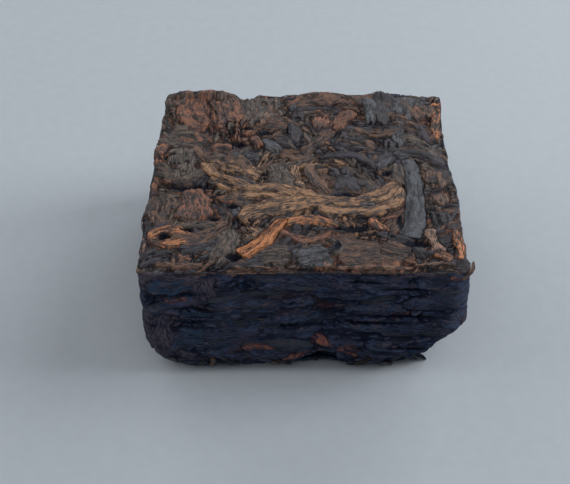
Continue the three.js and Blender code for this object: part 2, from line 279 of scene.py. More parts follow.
@dataclass(frozen=True)
class Form:
    """How a leaf was rolled: its cross section, its creases and its ends.

    Thickness is a share of the width up to a most. Creases, the dive of the ends and the tilt are in
    millimetres, fine is the strength of the fine creases beside the broad ones, and twist is in radians a
    millimetre. Edge noise and meander are shares of the width. End power and root close the ends, and section
    is the power of the outline of the cross section.
    """

    thick_share: float
    thick_most: float
    crease: float
    fine: float
    edge_noise: float
    end_power: float
    twist: float = 0.05
    end_root: float = 0.50
    meander: float = 0.14
    dive: float = 0.0
    section: float = 2.6
    tilt: float = 0.0


ROLLED = Form(0.42, 0.60, 0.075, 1.50, 0.22, 6.0, twist=0.22, meander=0.24, dive=0.20, tilt=0.16)
FLAT = Form(0.16, 0.30, 0.045, 1.60, 0.30, 8.0, dive=0.08, section=7.0, tilt=0.16)
STALK = Form(0.50, 0.90, 0.055, 1.60, 0.05, 90.0, twist=0.02, end_root=0.40, meander=0.05)
STEM = Form(0.62, 1.00, 0.070, 1.20, 0.16, 14.0, twist=0.08, end_root=0.45, meander=0.22)
PLATE = Form(0.05, 0.10, 0.050, 1.10, 0.30, 7.0, dive=0.05, section=10.0, tilt=0.26)
LAID_FORMS = (STALK, STEM)


@dataclass(frozen=True)
class Leaf:
    """One leaf, bud or stalk on a chart.

    Start and end are chart places, bow is how far the middle bends to the left of the way the leaf runs, and
    crown is how high its ridge lies over the moulded surface. Shade is from 0, dark, to 1, pale. Lift is how
    much further out its end stands than its start.
    """

    kind: Kind
    form: Form
    start: tuple[float, float]
    end: tuple[float, float]
    width: float
    crown: float
    shade: float = 0.5
    bow: float = 0.0
    end_width: float | None = None
    seed: float = 0.0
    lift: float = 0.0

    def path(self, t: Array) -> Array:
        """Gives the centre line: a quadratic Bezier curve with a slow meander to the side.

        Args:
            t: shares of the way from 0 to 1.

        Returns:
            Chart places.
        """
        start, end = np.array(self.start), np.array(self.end)
        chord = end - start
        length = max(float(np.linalg.norm(chord)), 1e-6)
        left = np.array([-chord[1], chord[0]]) / length
        middle = (start + end) / 2 + 2 * self.bow * left
        t = t[:, None]
        line = (1 - t) ** 2 * start + 2 * t * (1 - t) * middle + t**2 * end
        sway = noise(stack(t[:, 0] * length * 0.45, self.seed, 3.1))
        return line + self.form.meander * self.width * sway[:, None] * left

    def length(self) -> float:
        """Length of the centre line."""
        line = self.path(np.linspace(0, 1, 24))
        return float(np.linalg.norm(np.diff(line, axis=0), axis=1).sum())

    def closing(self, t: Array) -> Array:
        """Share of the full width at t: (1 - |2 t - 1| to a power) to a root, which closes the ends."""
        chance = abs(float(lattice_value(np.array([self.seed, 2.0, 5.0]))))
        power = self.form.end_power * (0.7 + 0.9 * chance)
        return np.maximum(1 - np.abs(2 * t - 1) ** power, 0.0) ** self.form.end_root

    def half_widths(self, t: Array, along: Array) -> tuple[Array, Array]:
        """Gives the half widths to the left and to the right, each with its own uneven edge."""
        far = self.width if self.end_width is None else self.end_width
        plain = (self.width + (far - self.width) * t) / 2 * np.maximum(self.closing(t), 0.04)
        left, right = (
            1 + self.form.edge_noise * layered_noise(stack(along * 0.9, self.seed, row), 2)
            for row in (11.0, 23.0)
        )
        return plain * left, plain * right

    def thickness(self, t: Array) -> Array:
        """Gives the thickness along the leaf, thinner towards closed ends."""
        full = min(self.form.thick_share * self.width, self.form.thick_most)
        return full * np.maximum(self.closing(t), 0.08) ** 0.7


class Heap:
    """The growing mesh of one piece: closed surfaces with what their finish needs at each vertex."""

    def __init__(self) -> None:
        """Starts with nothing."""
        self.points: list[Array] = []
        self.quads: list[Array] = []
        self.fans: list[Array] = []
        self.layers: dict[str, list[Array]] = {"grain": [], "marks": [], "tone": []}
        self.count = 0

    def add(self, points: Array, quads: Array, fans: Array, **layers: Array) -> None:
        """Adds a closed surface.

        Args:
            points: vertices by 3.
            quads: faces by 4 of its own vertex numbers.
            fans: faces by 3 of its own vertex numbers.
            layers: vertices by 3 for each named layer.
        """
        self.points.append(points)
        self.quads.append(quads + self.count)
        self.fans.append(fans + self.count)
        for name, values in layers.items():
            self.layers[name].append(values)
        self.count += len(points)

    def add_tube(self, rings: Array, poles: Array, **layers: Array) -> None:
        """Adds a closed tube: quads between neighbouring rings and a fan of triangles to each end's pole.

        Args:
            rings: points, as rings by places round by 3.
            poles: the two end points.
            layers: values at each ring point, as rings by places round by 3.
        """
        count, around = rings.shape[:2]
        number = np.arange(count * around).reshape(count, around)
        turned = np.roll(number, -1, axis=1)
        quads = np.stack([number[:-1], turned[:-1], turned[1:], number[1:]], axis=-1).reshape(-1, 4)
        start, end = count * around, count * around + 1
        near = np.stack([np.full(around, start), turned[0], number[0]], axis=-1)
        far = np.stack([np.full(around, end), number[-1], turned[-1]], axis=-1)
        points = np.concatenate([rings.reshape(-1, 3), poles])
        flat = {
            name: np.concatenate([values.reshape(-1, 3), values[[0, -1]].mean(axis=1)])
            for name, values in layers.items()
        }
        self.add(points, quads, np.concatenate([near, far]), **flat)

    def triangles(self) -> int:
        """Number of triangles so far."""
        return 2 * sum(len(q) for q in self.quads) + sum(len(f) for f in self.fans)

    def make(self, name: str, material: bpy.types.Material) -> bpy.types.Object:
        """Makes the piece, replaces the plain solid with it and sets it on the body.

        Args:
            name: the piece's name.
            material: its finish.

        Returns:
            The new object.
        """
        mesh = mesh_from_arrays(
            name, np.concatenate(self.points), np.concatenate(self.quads), np.concatenate(self.fans)
        )
        for label, values in self.layers.items():
            if values:
                layer = mesh.attributes.new(label, "FLOAT_VECTOR", "POINT")
                layer.data.foreach_set("vector", np.concatenate(values).astype(np.float32).ravel())
        log.info("%s: %d triangles", name, self.triangles())
        mesh.materials.append(material)
        piece = bpy.data.objects.new(name, mesh)
        bpy.context.scene.collection.objects.link(piece)
        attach(piece, "root")
        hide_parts("tea_brick")
        return piece


def mesh_from_arrays(name: str, points: Array, quads: Array, triangles: Array) -> bpy.types.Mesh:
    """Puts vertices in millimetres and whole arrays of faces into a smooth mesh in metres.

    Args:
        name: the mesh's name.
        points: vertices by 3.
        quads: faces by 4 vertex numbers.
        triangles: faces by 3 vertex numbers.

    Returns:
        The mesh.
    """
    corners = np.concatenate([quads.ravel(), triangles.ravel()]).astype(np.int32)
    sizes = np.concatenate([np.full(len(quads), 4), np.full(len(triangles), 3)]).astype(np.int32)
    starts = np.concatenate([[0], np.cumsum(sizes)[:-1]]).astype(np.int32)
    mesh = bpy.data.meshes.new(name)
    mesh.vertices.add(len(points))
    mesh.vertices.foreach_set("co", (points * MM).astype(np.float32).ravel())
    mesh.loops.add(len(corners))
    mesh.loops.foreach_set("vertex_index", corners)
    mesh.polygons.add(len(sizes))
    mesh.polygons.foreach_set("loop_start", starts)
    mesh.polygons.foreach_set("loop_total", sizes)
    mesh.polygons.foreach_set("use_smooth", np.ones(len(sizes), bool))
    mesh.update(calc_edges=True)
    mesh.validate()
    return mesh


class Chart:
    """A flat map of one part of the brick, as a grid of nodes.

    The mass is the relief of what is pressed: at each node its height over the moulded surface, the number of
    the fragment that owns the node, and that fragment's grain, marks (shade, relief and depth) and tone. The
    ceiling is the height that the leaves laid so far leave for the next. A leaf is laid under it, and then
    lowers it to its own underside.

    Fray is how far the ends of fragments are torn. Grains are cycles of noise a millimetre along a fragment
    and across it, and tube folds and creases have the same on two axes across a laid leaf and along it. Give
    is how far below the pressed height leaves start to be flattened. Crack mark is the depth mark that paints
    shade into a crack, and gap is what stays free between laid leaves. Ring and point steps lie between the
    points of a laid leaf, along it and across it. Fold is how far the chart goes past the edge of its face,
    and sink is how far it has sunk there. Bare marks and tone are those of the mass where no fragment lies;
    the full depth in the bare marks paints that mass in gap shade.
    """

    fray = 0.20
    fray_grain = (0.5, 1.8)
    fold_grain = (0.35, 1.9)
    fine_grain = (0.9, 5.2)
    give = 0.1
    hole_share = 0.6
    # Depth mark that paints shade into the cracks.
    crack_mark = 0.66
    tube_folds = (1.9, 1.9, 0.28)
    tube_creases = (5.5, 5.5, 0.7)
    gap = 0.03
    edge_room = 0.9
    ring_step = 0.12
    point_step = 0.062
    fold = 0.5
    sink = 0.5
    # A full depth mark paints the bare mass in gap shade.
    bare_marks = (0.2, 0.4, 1.0)
    bare_tone = (0.02, 0.02, 0.022)
    closed = False

    def __init__(
        self,
        mould: Mould,
        low: tuple[float, float],
        high: tuple[float, float],
        cell: float,
        pressed: float,
        floor: float,
    ) -> None:
        """Starts with an open ceiling and a bare floor of mass.

        Args:
            mould: the brick's form.
            low: lowest chart place.
            high: highest chart place.
            cell: distance between nodes.
            pressed: height over the moulded surface that the leaves were pressed to.
            floor: height of the mass where no fragment lies.
        """
        self.mould = mould
        self.low = np.array(low, float)
        self.high = np.array(high, float)
        self.cell = cell
        self.pressed = pressed
        span = np.round((self.high - self.low) / cell).astype(int)
        shape = (span[0] if self.closed else span[0] + 1, span[1] + 1)
        rows, columns = np.arange(shape[0]), np.arange(shape[1])
        u, v = np.meshgrid(self.low[0] + rows * cell, self.low[1] + columns * cell, indexing="ij")
        self.nodes = stack(u, v)
        self.ceiling = np.full(shape, pressed + self.gap)
        self.covered = np.zeros(shape, bool)
        self.mass = floor + 0.12 * noise(stack(u * 1.3, v * 1.3, 9.0))
        self.owner = np.full(shape, -1)
        self.grain = self.box(self.nodes)
        self.marks = np.broadcast_to(np.array(self.bare_marks), (*shape, 3)).copy()
        self.tone = np.broadcast_to(np.array(self.bare_tone), (*shape, 3)).copy()
        self.offset = self.warp(self.nodes)

    def box(self, place: Array) -> Array:
        """Maps chart places to points of the plain box."""
        raise NotImplementedError

    def warp(self, place: Array) -> Array:
        """Gives the small, uneven shift that tears straight edges: two sizes of noise in the plain box."""
        at = self.box(place)
        coarse = stack(noise(at * 0.9 + 3.0), noise(at * 0.9 + 51.0))
        fine = stack(noise(at * 3.1 + 17.0), noise(at * 3.1 + 83.0))
        return 0.13 * coarse + 0.08 * fine

    def warped(self, place: Array) -> Array:
        """Moves chart places by the shift."""
        return place + self.warp(place)

    def cells(self, place: Array) -> tuple[Array, Array]:
        """Finds the nodes nearest to chart places. A closed chart goes round."""
        index = np.rint((place - self.low) / self.cell).astype(int)
        return self.wrap(index[..., 0]), np.clip(index[..., 1], 0, self.ceiling.shape[1] - 1)

    def wrap(self, row: Array) -> Array:
        """Brings row numbers into the grid."""
        if self.closed:
            return np.mod(row, self.ceiling.shape[0])
        return np.clip(row, 0, self.ceiling.shape[0] - 1)

    def press(self, leaf: Leaf, tone: Colour, number: int) -> None:
        """Presses a fragment into the mass wherever it lies over what is there.

        At the distance s across, as a share of the half width, the fragment has the height of its crown less
        half its thickness times 1 - (1 - s to a power) to the inverse power. A chance tilt across it and a
        chance rise along it are added, then broad folds and fine creases, and its ends dive by the sixth
        power of the distance from its middle. Noise along its length frays the ends.

        Args:
            leaf: the fragment.
            tone: its colour.
            number: what marks its nodes as its own.
        """
        form = leaf.form
        start, end = np.array(leaf.start), np.array(leaf.end)
        length = float(np.linalg.norm(end - start))
        ahead = (end - start) / length
        left = np.array([-ahead[1], ahead[0]])
        far_width = leaf.width if leaf.end_width is None else leaf.end_width
        margin = max(leaf.width, far_width) / 2 + abs(leaf.bow) + 0.5
        first = np.floor((np.minimum(start, end) - margin - self.low) / self.cell).astype(int)
        last = np.ceil((np.maximum(start, end) + margin - self.low) / self.cell).astype(int)
        rows = np.arange(first[0], last[0] + 1)
        if not self.closed:
            rows = rows[(rows >= 0) & (rows < self.ceiling.shape[0])]
        columns = np.arange(max(first[1], 0), min(last[1] + 1, self.ceiling.shape[1]))
        if not (len(rows) and len(columns)):
            return
        patch = np.ix_(self.wrap(rows), columns)
        u, v = self.low[0] + rows[:, None] * self.cell, self.low[1] + columns[None, :] * self.cell
        away = stack(u, v) + self.offset[patch] - start
        along = away @ ahead
        across = away @ left
        torn = stack(along * self.fray_grain[0], across * self.fray_grain[1], leaf.seed + 9)
        frayed = along + self.fray * noise(torn)
        t = np.clip(frayed / length, 0, 1)
        across = across - 4 * leaf.bow * (along / length) * (1 - along / length)
        side = np.where(across > 0, 11.0, 23.0)
        uneven = 1 + form.edge_noise * noise(stack(along * 1.1, side, leaf.seed))
        half = (leaf.width + (far_width - leaf.width) * t) / 2 * leaf.closing(t) * uneven
        share = np.abs(across) / np.maximum(half, 1e-6)
        body = np.maximum(1 - np.minimum(share, 1) ** form.section, 0) ** (1 / form.section)
        fold = noise(stack(along * self.fold_grain[0], across * self.fold_grain[1], leaf.seed))
        fine = noise(stack(along * self.fine_grain[0], across * self.fine_grain[1], leaf.seed + 5))
        crease = 1.9 * np.abs(fold) - 0.8 + form.fine * (0.5 - 1.6 * np.abs(fine))
        tilt, rise = form.tilt * lattice_value(np.array([[leaf.seed, 3.3, 7.7], [leaf.seed, 1.3, 2.7]]))
        thick = min(form.thick_share * leaf.width, form.thick_most)
        height = leaf.crown - thick / 2 * (1 - body)
        height = height + tilt * across / max(leaf.width, 0.6) + rise * (t - 0.5)
        height = height + form.crease * crease * body - form.dive * np.abs(2 * t - 1) ** 6
        mine = (frayed > 0) & (frayed < length) & (share < 1) & (height > self.mass[patch])
        self.keep(patch, mine, self.mass, height)
        self.keep(patch, mine, self.owner, np.full_like(share, number, dtype=int))
        # The depth mark paints shade with the depth under the pressed height, and the relief mark paints
        # crease ridges lighter and valleys darker, partly wear and partly painted light and shade.
        depth = np.clip(self.pressed - height, 0, 1)
        self.keep(patch, mine, self.marks, stack(leaf.shade, np.clip(0.5 + 0.4 * crease, 0, 1), depth))
        self.keep(patch, mine, self.grain, stack(along + 3.7 * leaf.seed, across, 1.3 * leaf.seed))
        self.keep(patch, mine, self.tone, np.broadcast_to(np.array(tone), (*share.shape, 3)))

    @staticmethod
    def keep(patch: tuple[Array, Array], mine: Array, grid: Array, values: Array) -> None:
        """Writes the values of a patch of the grid where they are a fragment's own."""
        old = grid[patch]
        old[mine] = values[mine]
        grid[patch] = old

    def settle(
        self, groove: float, cracked: float, stretch: Triple, holes: tuple[tuple[float, ...], ...] = ()
    ) -> None:
        """Finishes the mass: cracks along the fragments' edges and holes, both with painted shade, and room
        for the leaves above.

        Args:
            groove: depth of the cracks.
            cracked: mean share of the depth that the cracks reach.
            stretch: frequency of the noise that lets the cracks come and go, on the box's three axes.
            holes: deep gaps as (u, v, reach along u, reach along v, depth).
        """
        self.owner[self.covered] = -2
        edge = np.zeros(self.owner.shape)
        for axis in (0, 1):
            edge = np.maximum(edge, np.roll(self.owner, 1, axis=axis) != self.owner)
        openness = cracked + 1.3 * layered_noise(self.box(self.nodes) * np.array(stretch), 3)
        crack = edge * np.clip(openness, 0, 1)
        for u, v, wide, high, depth in holes:
            away = ((self.nodes[..., 0] + self.offset[..., 0] - u) / wide) ** 2
            away = away + ((self.nodes[..., 1] + self.offset[..., 1] - v) / high) ** 2
            fall = np.clip(1.3 - away, 0, 1)
            self.mass -= self.hole_share * depth * fall
            # Painted shade: a hole's depth mark rises to full, so that the hole is painted near black.
            self.marks[..., 2] = np.maximum(self.marks[..., 2], np.minimum(1.6 * fall, 1))
        sunk = blurred(self.mass, self.closed) - groove * crack
        self.mass = soft_limit(sunk, self.pressed, self.give)
        # Painted shade in the cracks: their relief mark is darkened and their depth mark raised.
        self.marks[..., 1] *= 1 - 0.8 * crack
        self.marks[..., 2] = np.maximum(self.marks[..., 2], self.crack_mark * crack)
        under = np.minimum(self.mass, self.ceiling + 0.08)
        self.mass = np.where(self.covered, under, self.mass)

    def footprint(self, leaf: Leaf) -> tuple[Array, Array, Array, Array]:
        """Samples a leaf's plan more finely than the grid.

        Args:
            leaf: the leaf.

        Returns:
            Shares of the way t, shares across a from -1 to 1, the chart places, and the distance along.
        """
        length = leaf.length()
        t = np.linspace(0, 1, max(8, math.ceil(length / (0.8 * self.cell))))
        half_count = math.ceil(leaf.width / (1.6 * self.cell))
        across = np.linspace(-0.92, 0.92, max(7, 2 * half_count + 1))
        line = leaf.path(t)
        left = side_vectors(line)
        left_half, right_half = leaf.half_widths(t, t * length)
        half = np.where(across[None, :] > 0, left_half[:, None], right_half[:, None])
        places = line[:, None, :] + left[:, None, :] * (across[None, :] * half)[..., None]
        return t, across, self.warped(places), t * length

    def bare_share(self, leaf: Leaf) -> float:
        """Share of a leaf's plan that no leaf covers yet."""
        _, _, places, _ = self.footprint(leaf)
        return float((~self.covered[self.cells(places)]).mean())

    def lay(self, leaf: Leaf, heap: Heap) -> None:
        """Lays a leaf under the ceiling and lowers the ceiling to its underside.

        The height of each edge is the lower of the crown and the ceiling over that half of the leaf, less a
        gap. Both lines are then the least over a short window, smoothed over the same window, so that the
        leaf dips under what crosses it in an easy curve. Its lift grows with the square of the way along it,
        and its ends dive into the mass.

        Args:
            leaf: the leaf.
            heap: the piece that its mesh joins.
        """
        t, across, places, along = self.footprint(leaf)
        cells = self.cells(places)
        room = self.ceiling[cells] - self.gap
        window = max(1, round(0.35 / max(along[-1] / len(t), 1e-6)))
        edges = []
        for half in (across >= -0.3, across <= 0.3):
            line = np.minimum(leaf.crown, room[:, half].min(axis=1))
            line = line + 0.07 * noise(stack(along * 0.8, leaf.seed, 41.0))
            dive = leaf.form.dive * np.abs(2 * t - 1) ** 5
            edges.append(smooth_under(line, window) + leaf.lift * t**2 - dive)
        left, right = edges
        most = self.edge_room * leaf.width / 2
        left, right = np.minimum(left, right + most), np.minimum(right, left + most)
        height = (left + right)[:, None] / 2 + (left - right)[:, None] / 2 * across[None, :]
        thick = leaf.thickness(t)[:, None] * np.sqrt(1 - 0.75 * across[None, :] ** 2)
        np.minimum.at(self.ceiling, cells, height - thick)
        self.covered[cells] = True
        rings, poles, grain, marks = self.tube(leaf, t, left, right)
        heap.add_tube(rings, poles, grain=grain, marks=marks)

    def tube(self, leaf: Leaf, t: Array, left: Array, right: Array) -> tuple[Array, Array, Array, Array]:
        """Sweeps the leaf's cross section along its laid centre line.

        The section is an ellipse with its corners filled out, with most of its points on the upper side.
        Creases are the size of a noise that runs along the leaf and turns with its twist, so that round folds
        meet in sharp valleys, and a finer noise lies over them.

        Args:
            leaf: the leaf.
            t: shares of the way at which the heights are given.
            left: height of the left edge at each.
            right: height of the right edge at each.

        Returns:
            The rings, the poles, the pattern's coordinates and the marks.
        """
        form = leaf.form
        length = leaf.length()
        even = np.linspace(0, 1, max(8, round(length / self.ring_step)))
        t_ring = 0.66 * even + 0.34 * (1 - np.cos(np.pi * even)) / 2
        along = t_ring * length
        upper = max(11, round(leaf.width / self.point_step))
        lower = max(5, round(0.35 * upper))
        angle = np.concatenate([
            np.pi * np.arange(upper) / upper,
            np.pi + np.pi * np.arange(lower) / lower,
        ])
        cos, sin = np.cos(angle), np.sin(angle)
        over = np.sign(cos) * np.abs(cos) ** 0.85
        rise = np.where(sin > 0, np.abs(sin) ** 0.55, -np.abs(sin) ** 0.8)

        line = leaf.path(t_ring)
        side = side_vectors(line)
        left_half, right_half = leaf.half_widths(t_ring, along)
        half = np.where(over[None, :] > 0, left_half[:, None], right_half[:, None])
        thick = leaf.thickness(t_ring)[:, None]

        turn = angle[None, :] + form.twist * along[:, None]
        girth = 0.55 * leaf.width
        ring = stack(girth * np.cos(turn), girth * np.sin(turn), along[:, None])
        fold = noise(ring * np.array(self.tube_folds) + leaf.seed * np.array([0, 0, 1]))
        fine = noise(ring * np.array(self.tube_creases) + leaf.seed * np.array([0, 0, 1]))
        crease = 2.2 * np.abs(fold) - 0.9 + form.fine * (0.5 - 1.6 * np.abs(fine))
        closing = np.minimum(1, leaf.closing(t_ring) * 1.5)[:, None]

        across = over[None, :] * half
        share = across / max(leaf.width / 2, 1e-6)
        heights = np.interp(t_ring, t, left), np.interp(t_ring, t, right)
        middle = (heights[0] + heights[1])[:, None] / 2
        roll = (heights[0] - heights[1])[:, None] / 2
        out = middle + roll * share - thick / 2 + rise[None, :] * thick / 2
        out = out + form.crease * crease * closing * np.abs(sin)[None, :]
        across = across + 0.5 * form.crease * crease * closing * cos[None, :]
        out = soft_limit(out, self.pressed + leaf.lift, self.give)
        places = self.warped(line[:, None, :] + side[:, None, :] * across[..., None])
        rings = self.mould.skin(self.box(places), out)

        grain = stack(along[:, None] + 31.7 * leaf.seed, ring[..., 0] + 5.1 * leaf.seed, ring[..., 1])
        # As in the mass, depth paints shade under the pressed height, and worn sets how strongly the creases
        # are painted lighter on ridges and darker in valleys, partly wear and partly painted light and shade.
        depth = np.clip(self.pressed - out, 0, 1)
        worn = 0.4 * min(1.0, form.crease / 0.05)
        marks = stack(leaf.shade, np.clip(0.5 + worn * crease, 0, 1), depth)
        ends = np.stack([rings[0].mean(axis=0), rings[-1].mean(axis=0)])
        return rings, ends, grain, marks


def side_vectors(line: Array) -> Array:
    """Gives the unit vectors to the left of a chart line."""
    ahead = np.gradient(line, axis=0)
    ahead /= np.maximum(np.linalg.norm(ahead, axis=1, keepdims=True), 1e-9)
    return np.stack([-ahead[:, 1], ahead[:, 0]], axis=1)


def smooth_under(line: Array, window: int) -> Array:
    """Takes the least over a window on both sides of each sample, then the mean over the same window.

    Args:
        line: samples along a leaf.
        window: samples on either side.

    Returns:
        A smooth line that is nowhere above the first one.
    """
    padded = np.pad(line, 2 * window, mode="edge")
    spans = np.lib.stride_tricks.sliding_window_view(padded, 2 * window + 1)
    least = spans.min(axis=1)
    return np.lib.stride_tricks.sliding_window_view(least, 2 * window + 1).mean(axis=1)


def blurred(grid: Array, closed: bool) -> Array:
    """Averages each node with its neighbours by weights of 1, 2 and 1 along both axes.

    Args:
        grid: rows by columns.
        closed: whether the rows go round.

    Returns:
        The smoothed grid.
    """
    for axis, mode in ((0, "wrap" if closed else "edge"), (1, "edge")):
        pad = [(0, 0), (0, 0)]
        pad[axis] = (1, 1)
        wide = np.pad(grid, pad, mode=mode)
        inner = [slice(None), slice(None)]
        before, middle, after = list(inner), list(inner), list(inner)
        before[axis], middle[axis], after[axis] = slice(0, -2), slice(1, -1), slice(2, None)
        grid = (wide[tuple(before)] + 2 * wide[tuple(middle)] + wide[tuple(after)]) / 4
    return grid


class FlatChart(Chart):
    """A chart of a face that looks up or down. Past the rim it folds on to the sides."""

    lift = 1.0
    pole_depth = 1.5

    def box(self, place: Array) -> Array:
        """Maps a place to the face, and the part past the rim to the sides."""
        half = self.mould.half
        over = np.maximum(np.abs(place).max(axis=-1) - half, 0)
        flat = np.clip(place, -half, half)
        return stack(flat[..., 0], self.lift * flat[..., 1], self.level(over))

    def level(self, over: Array) -> Array:
        """Height in the box at a distance past the rim."""
        raise NotImplementedError

    def shell(self, heap: Heap) -> None:
        """Adds the mass as a closed cap: its grid, which sinks past the rim, and a fan under it.

        Args:
            heap: the piece that it joins.
        """
        over = np.maximum(np.abs(self.nodes).max(axis=-1) - self.mould.half, 0)
        out = self.mass - self.sink * (over / self.fold) ** 2
        points = self.mould.skin(self.box(self.nodes), out)
        rows, columns = out.shape
        number = np.arange(rows * columns).reshape(rows, columns)
        quads = np.stack([number[:-1, :-1], number[1:, :-1], number[1:, 1:], number[:-1, 1:]], axis=-1)
        rim = np.concatenate([number[:, 0], number[-1, 1:], number[-2::-1, -1], number[0, -2:0:-1]])
        pole = np.array([[0, 0, self.level(np.array(self.pole_depth))]])
        fan = np.stack([np.full(len(rim), rows * columns), np.roll(rim, -1), rim], axis=-1)
        layers = {"grain": self.grain, "marks": self.marks, "tone": self.tone}
        flat = {name: np.concatenate([grid.reshape(-1, 3), grid[0, :1]]) for name, grid in layers.items()}
        heap.add(np.concatenate([points.reshape(-1, 3), pole]), quads.reshape(-1, 4), fan, **flat)


class TopChart(FlatChart):
    """The pressed top: a place is (x, y)."""

    steps = 305

    def __init__(self, mould: Mould) -> None:
        """Covers the top and a little of the sides."""
        reach = mould.half + self.fold
        cell = 2 * reach / self.steps
        super().__init__(mould, (-reach, -reach), (reach, reach), cell, pressed=mould.rim_drop, floor=-0.9)

    def level(self, over: Array) -> Array:
        """Counts down from the box's top."""
        return self.mould.core_top - over


class UnderChart(FlatChart):
    """The underside: a place is (x, -y), so that the leaves face down."""

    lift = -1.0

    def __init__(self, mould: Mould) -> None:
        """Covers the underside and a little of the sides."""
        reach = mould.half + self.fold
        super().__init__(mould, (-reach, -reach), (reach, reach), cell=0.2, pressed=0.02, floor=-0.3)

    def level(self, over: Array) -> Array:
        """Counts up from the ground."""
        return over


class SideChart(Chart):
    """The four sides, unrolled: a place is (distance round from the front left corner, height)."""

    closed = True
    steps = 900
    step_in = 0.25
    pole_depth = 1.0

    def __init__(self, mould: Mould) -> None:
        """Covers the sides once round, and a little of the top and of the underside."""
        high = (4 * mould.side, mould.core_top + self.fold)
        cell = 4 * mould.side / self.steps
        super().__init__(mould, (0, -self.fold), high, cell, pressed=0.16, floor=-0.35)

    def box(self, place: Array) -> Array:
        """Maps (round, height) to the box: the front runs to +X, the right to +Y, the back to -X.

        Above the top and below the ground the square shrinks towards its middle.
        """
        mould = self.mould
        around = np.mod(place[..., 0], 4 * mould.side)
        turn = np.minimum(np.floor(around / mould.side), 3)
        local = around - turn * mould.side - mould.half
        x = np.choose(turn.astype(int), [local, mould.half, -local, -mould.half])
        y = np.choose(turn.astype(int), [-mould.half, local, mould.half, -local])
        z = np.clip(place[..., 1], 0, mould.core_top)
        shrink = 1 - np.abs(place[..., 1] - z) / mould.half
        return stack(x * shrink, y * shrink, z)

    def warm(self, warmth: Colour, blend: float) -> None:
        """Warms the tones of the left, back and right sides, which aren't in shade as the front is.

        Args:
            warmth: what red, green and blue are multiplied by.
            blend: distance past the front's corners at which they are warm in full.
        """
        around = self.nodes[..., 0]
        past = np.minimum(around - self.mould.side, 4 * self.mould.side - around)
        share = np.clip(past / blend, 0, 1)[..., None]
        self.tone *= 1 + share * (np.array(warmth) - 1)

    def shell(self, heap: Heap) -> None:
        """Adds the mass as a closed tube that steps in and sinks over the top and under the ground.

        Args:
            heap: the piece that it joins.
        """
        v = self.nodes[..., 1]
        over = np.abs(v - np.clip(v, 0, self.mould.core_top))
        out = self.mass - self.sink * (over / self.fold) ** 2 - self.step_in * (over > 0)
        rings = self.mould.skin(self.box(self.nodes), out).transpose(1, 0, 2)
        poles = np.array([[0, 0, self.pole_depth], [0, 0, self.mould.core_top - self.pole_depth]])
        layers = {"grain": self.grain, "marks": self.marks, "tone": self.tone}
        heap.add_tube(rings, poles, **{name: grid.transpose(1, 0, 2) for name, grid in layers.items()})


# Listed leaves have rising seeds, and those of the top are wider than their rows say.
SEED_STEP = 1.37
FRONT_SEED = 201.3
CORNER_SEED = 251.3
WIDENED = 1.1


def crown_of_level(level: float) -> float:
    """Height of a leaf's crown over the moulded top: from a level of 1.4 up, the press has flattened it."""
    return 0.03 + 0.12 * level


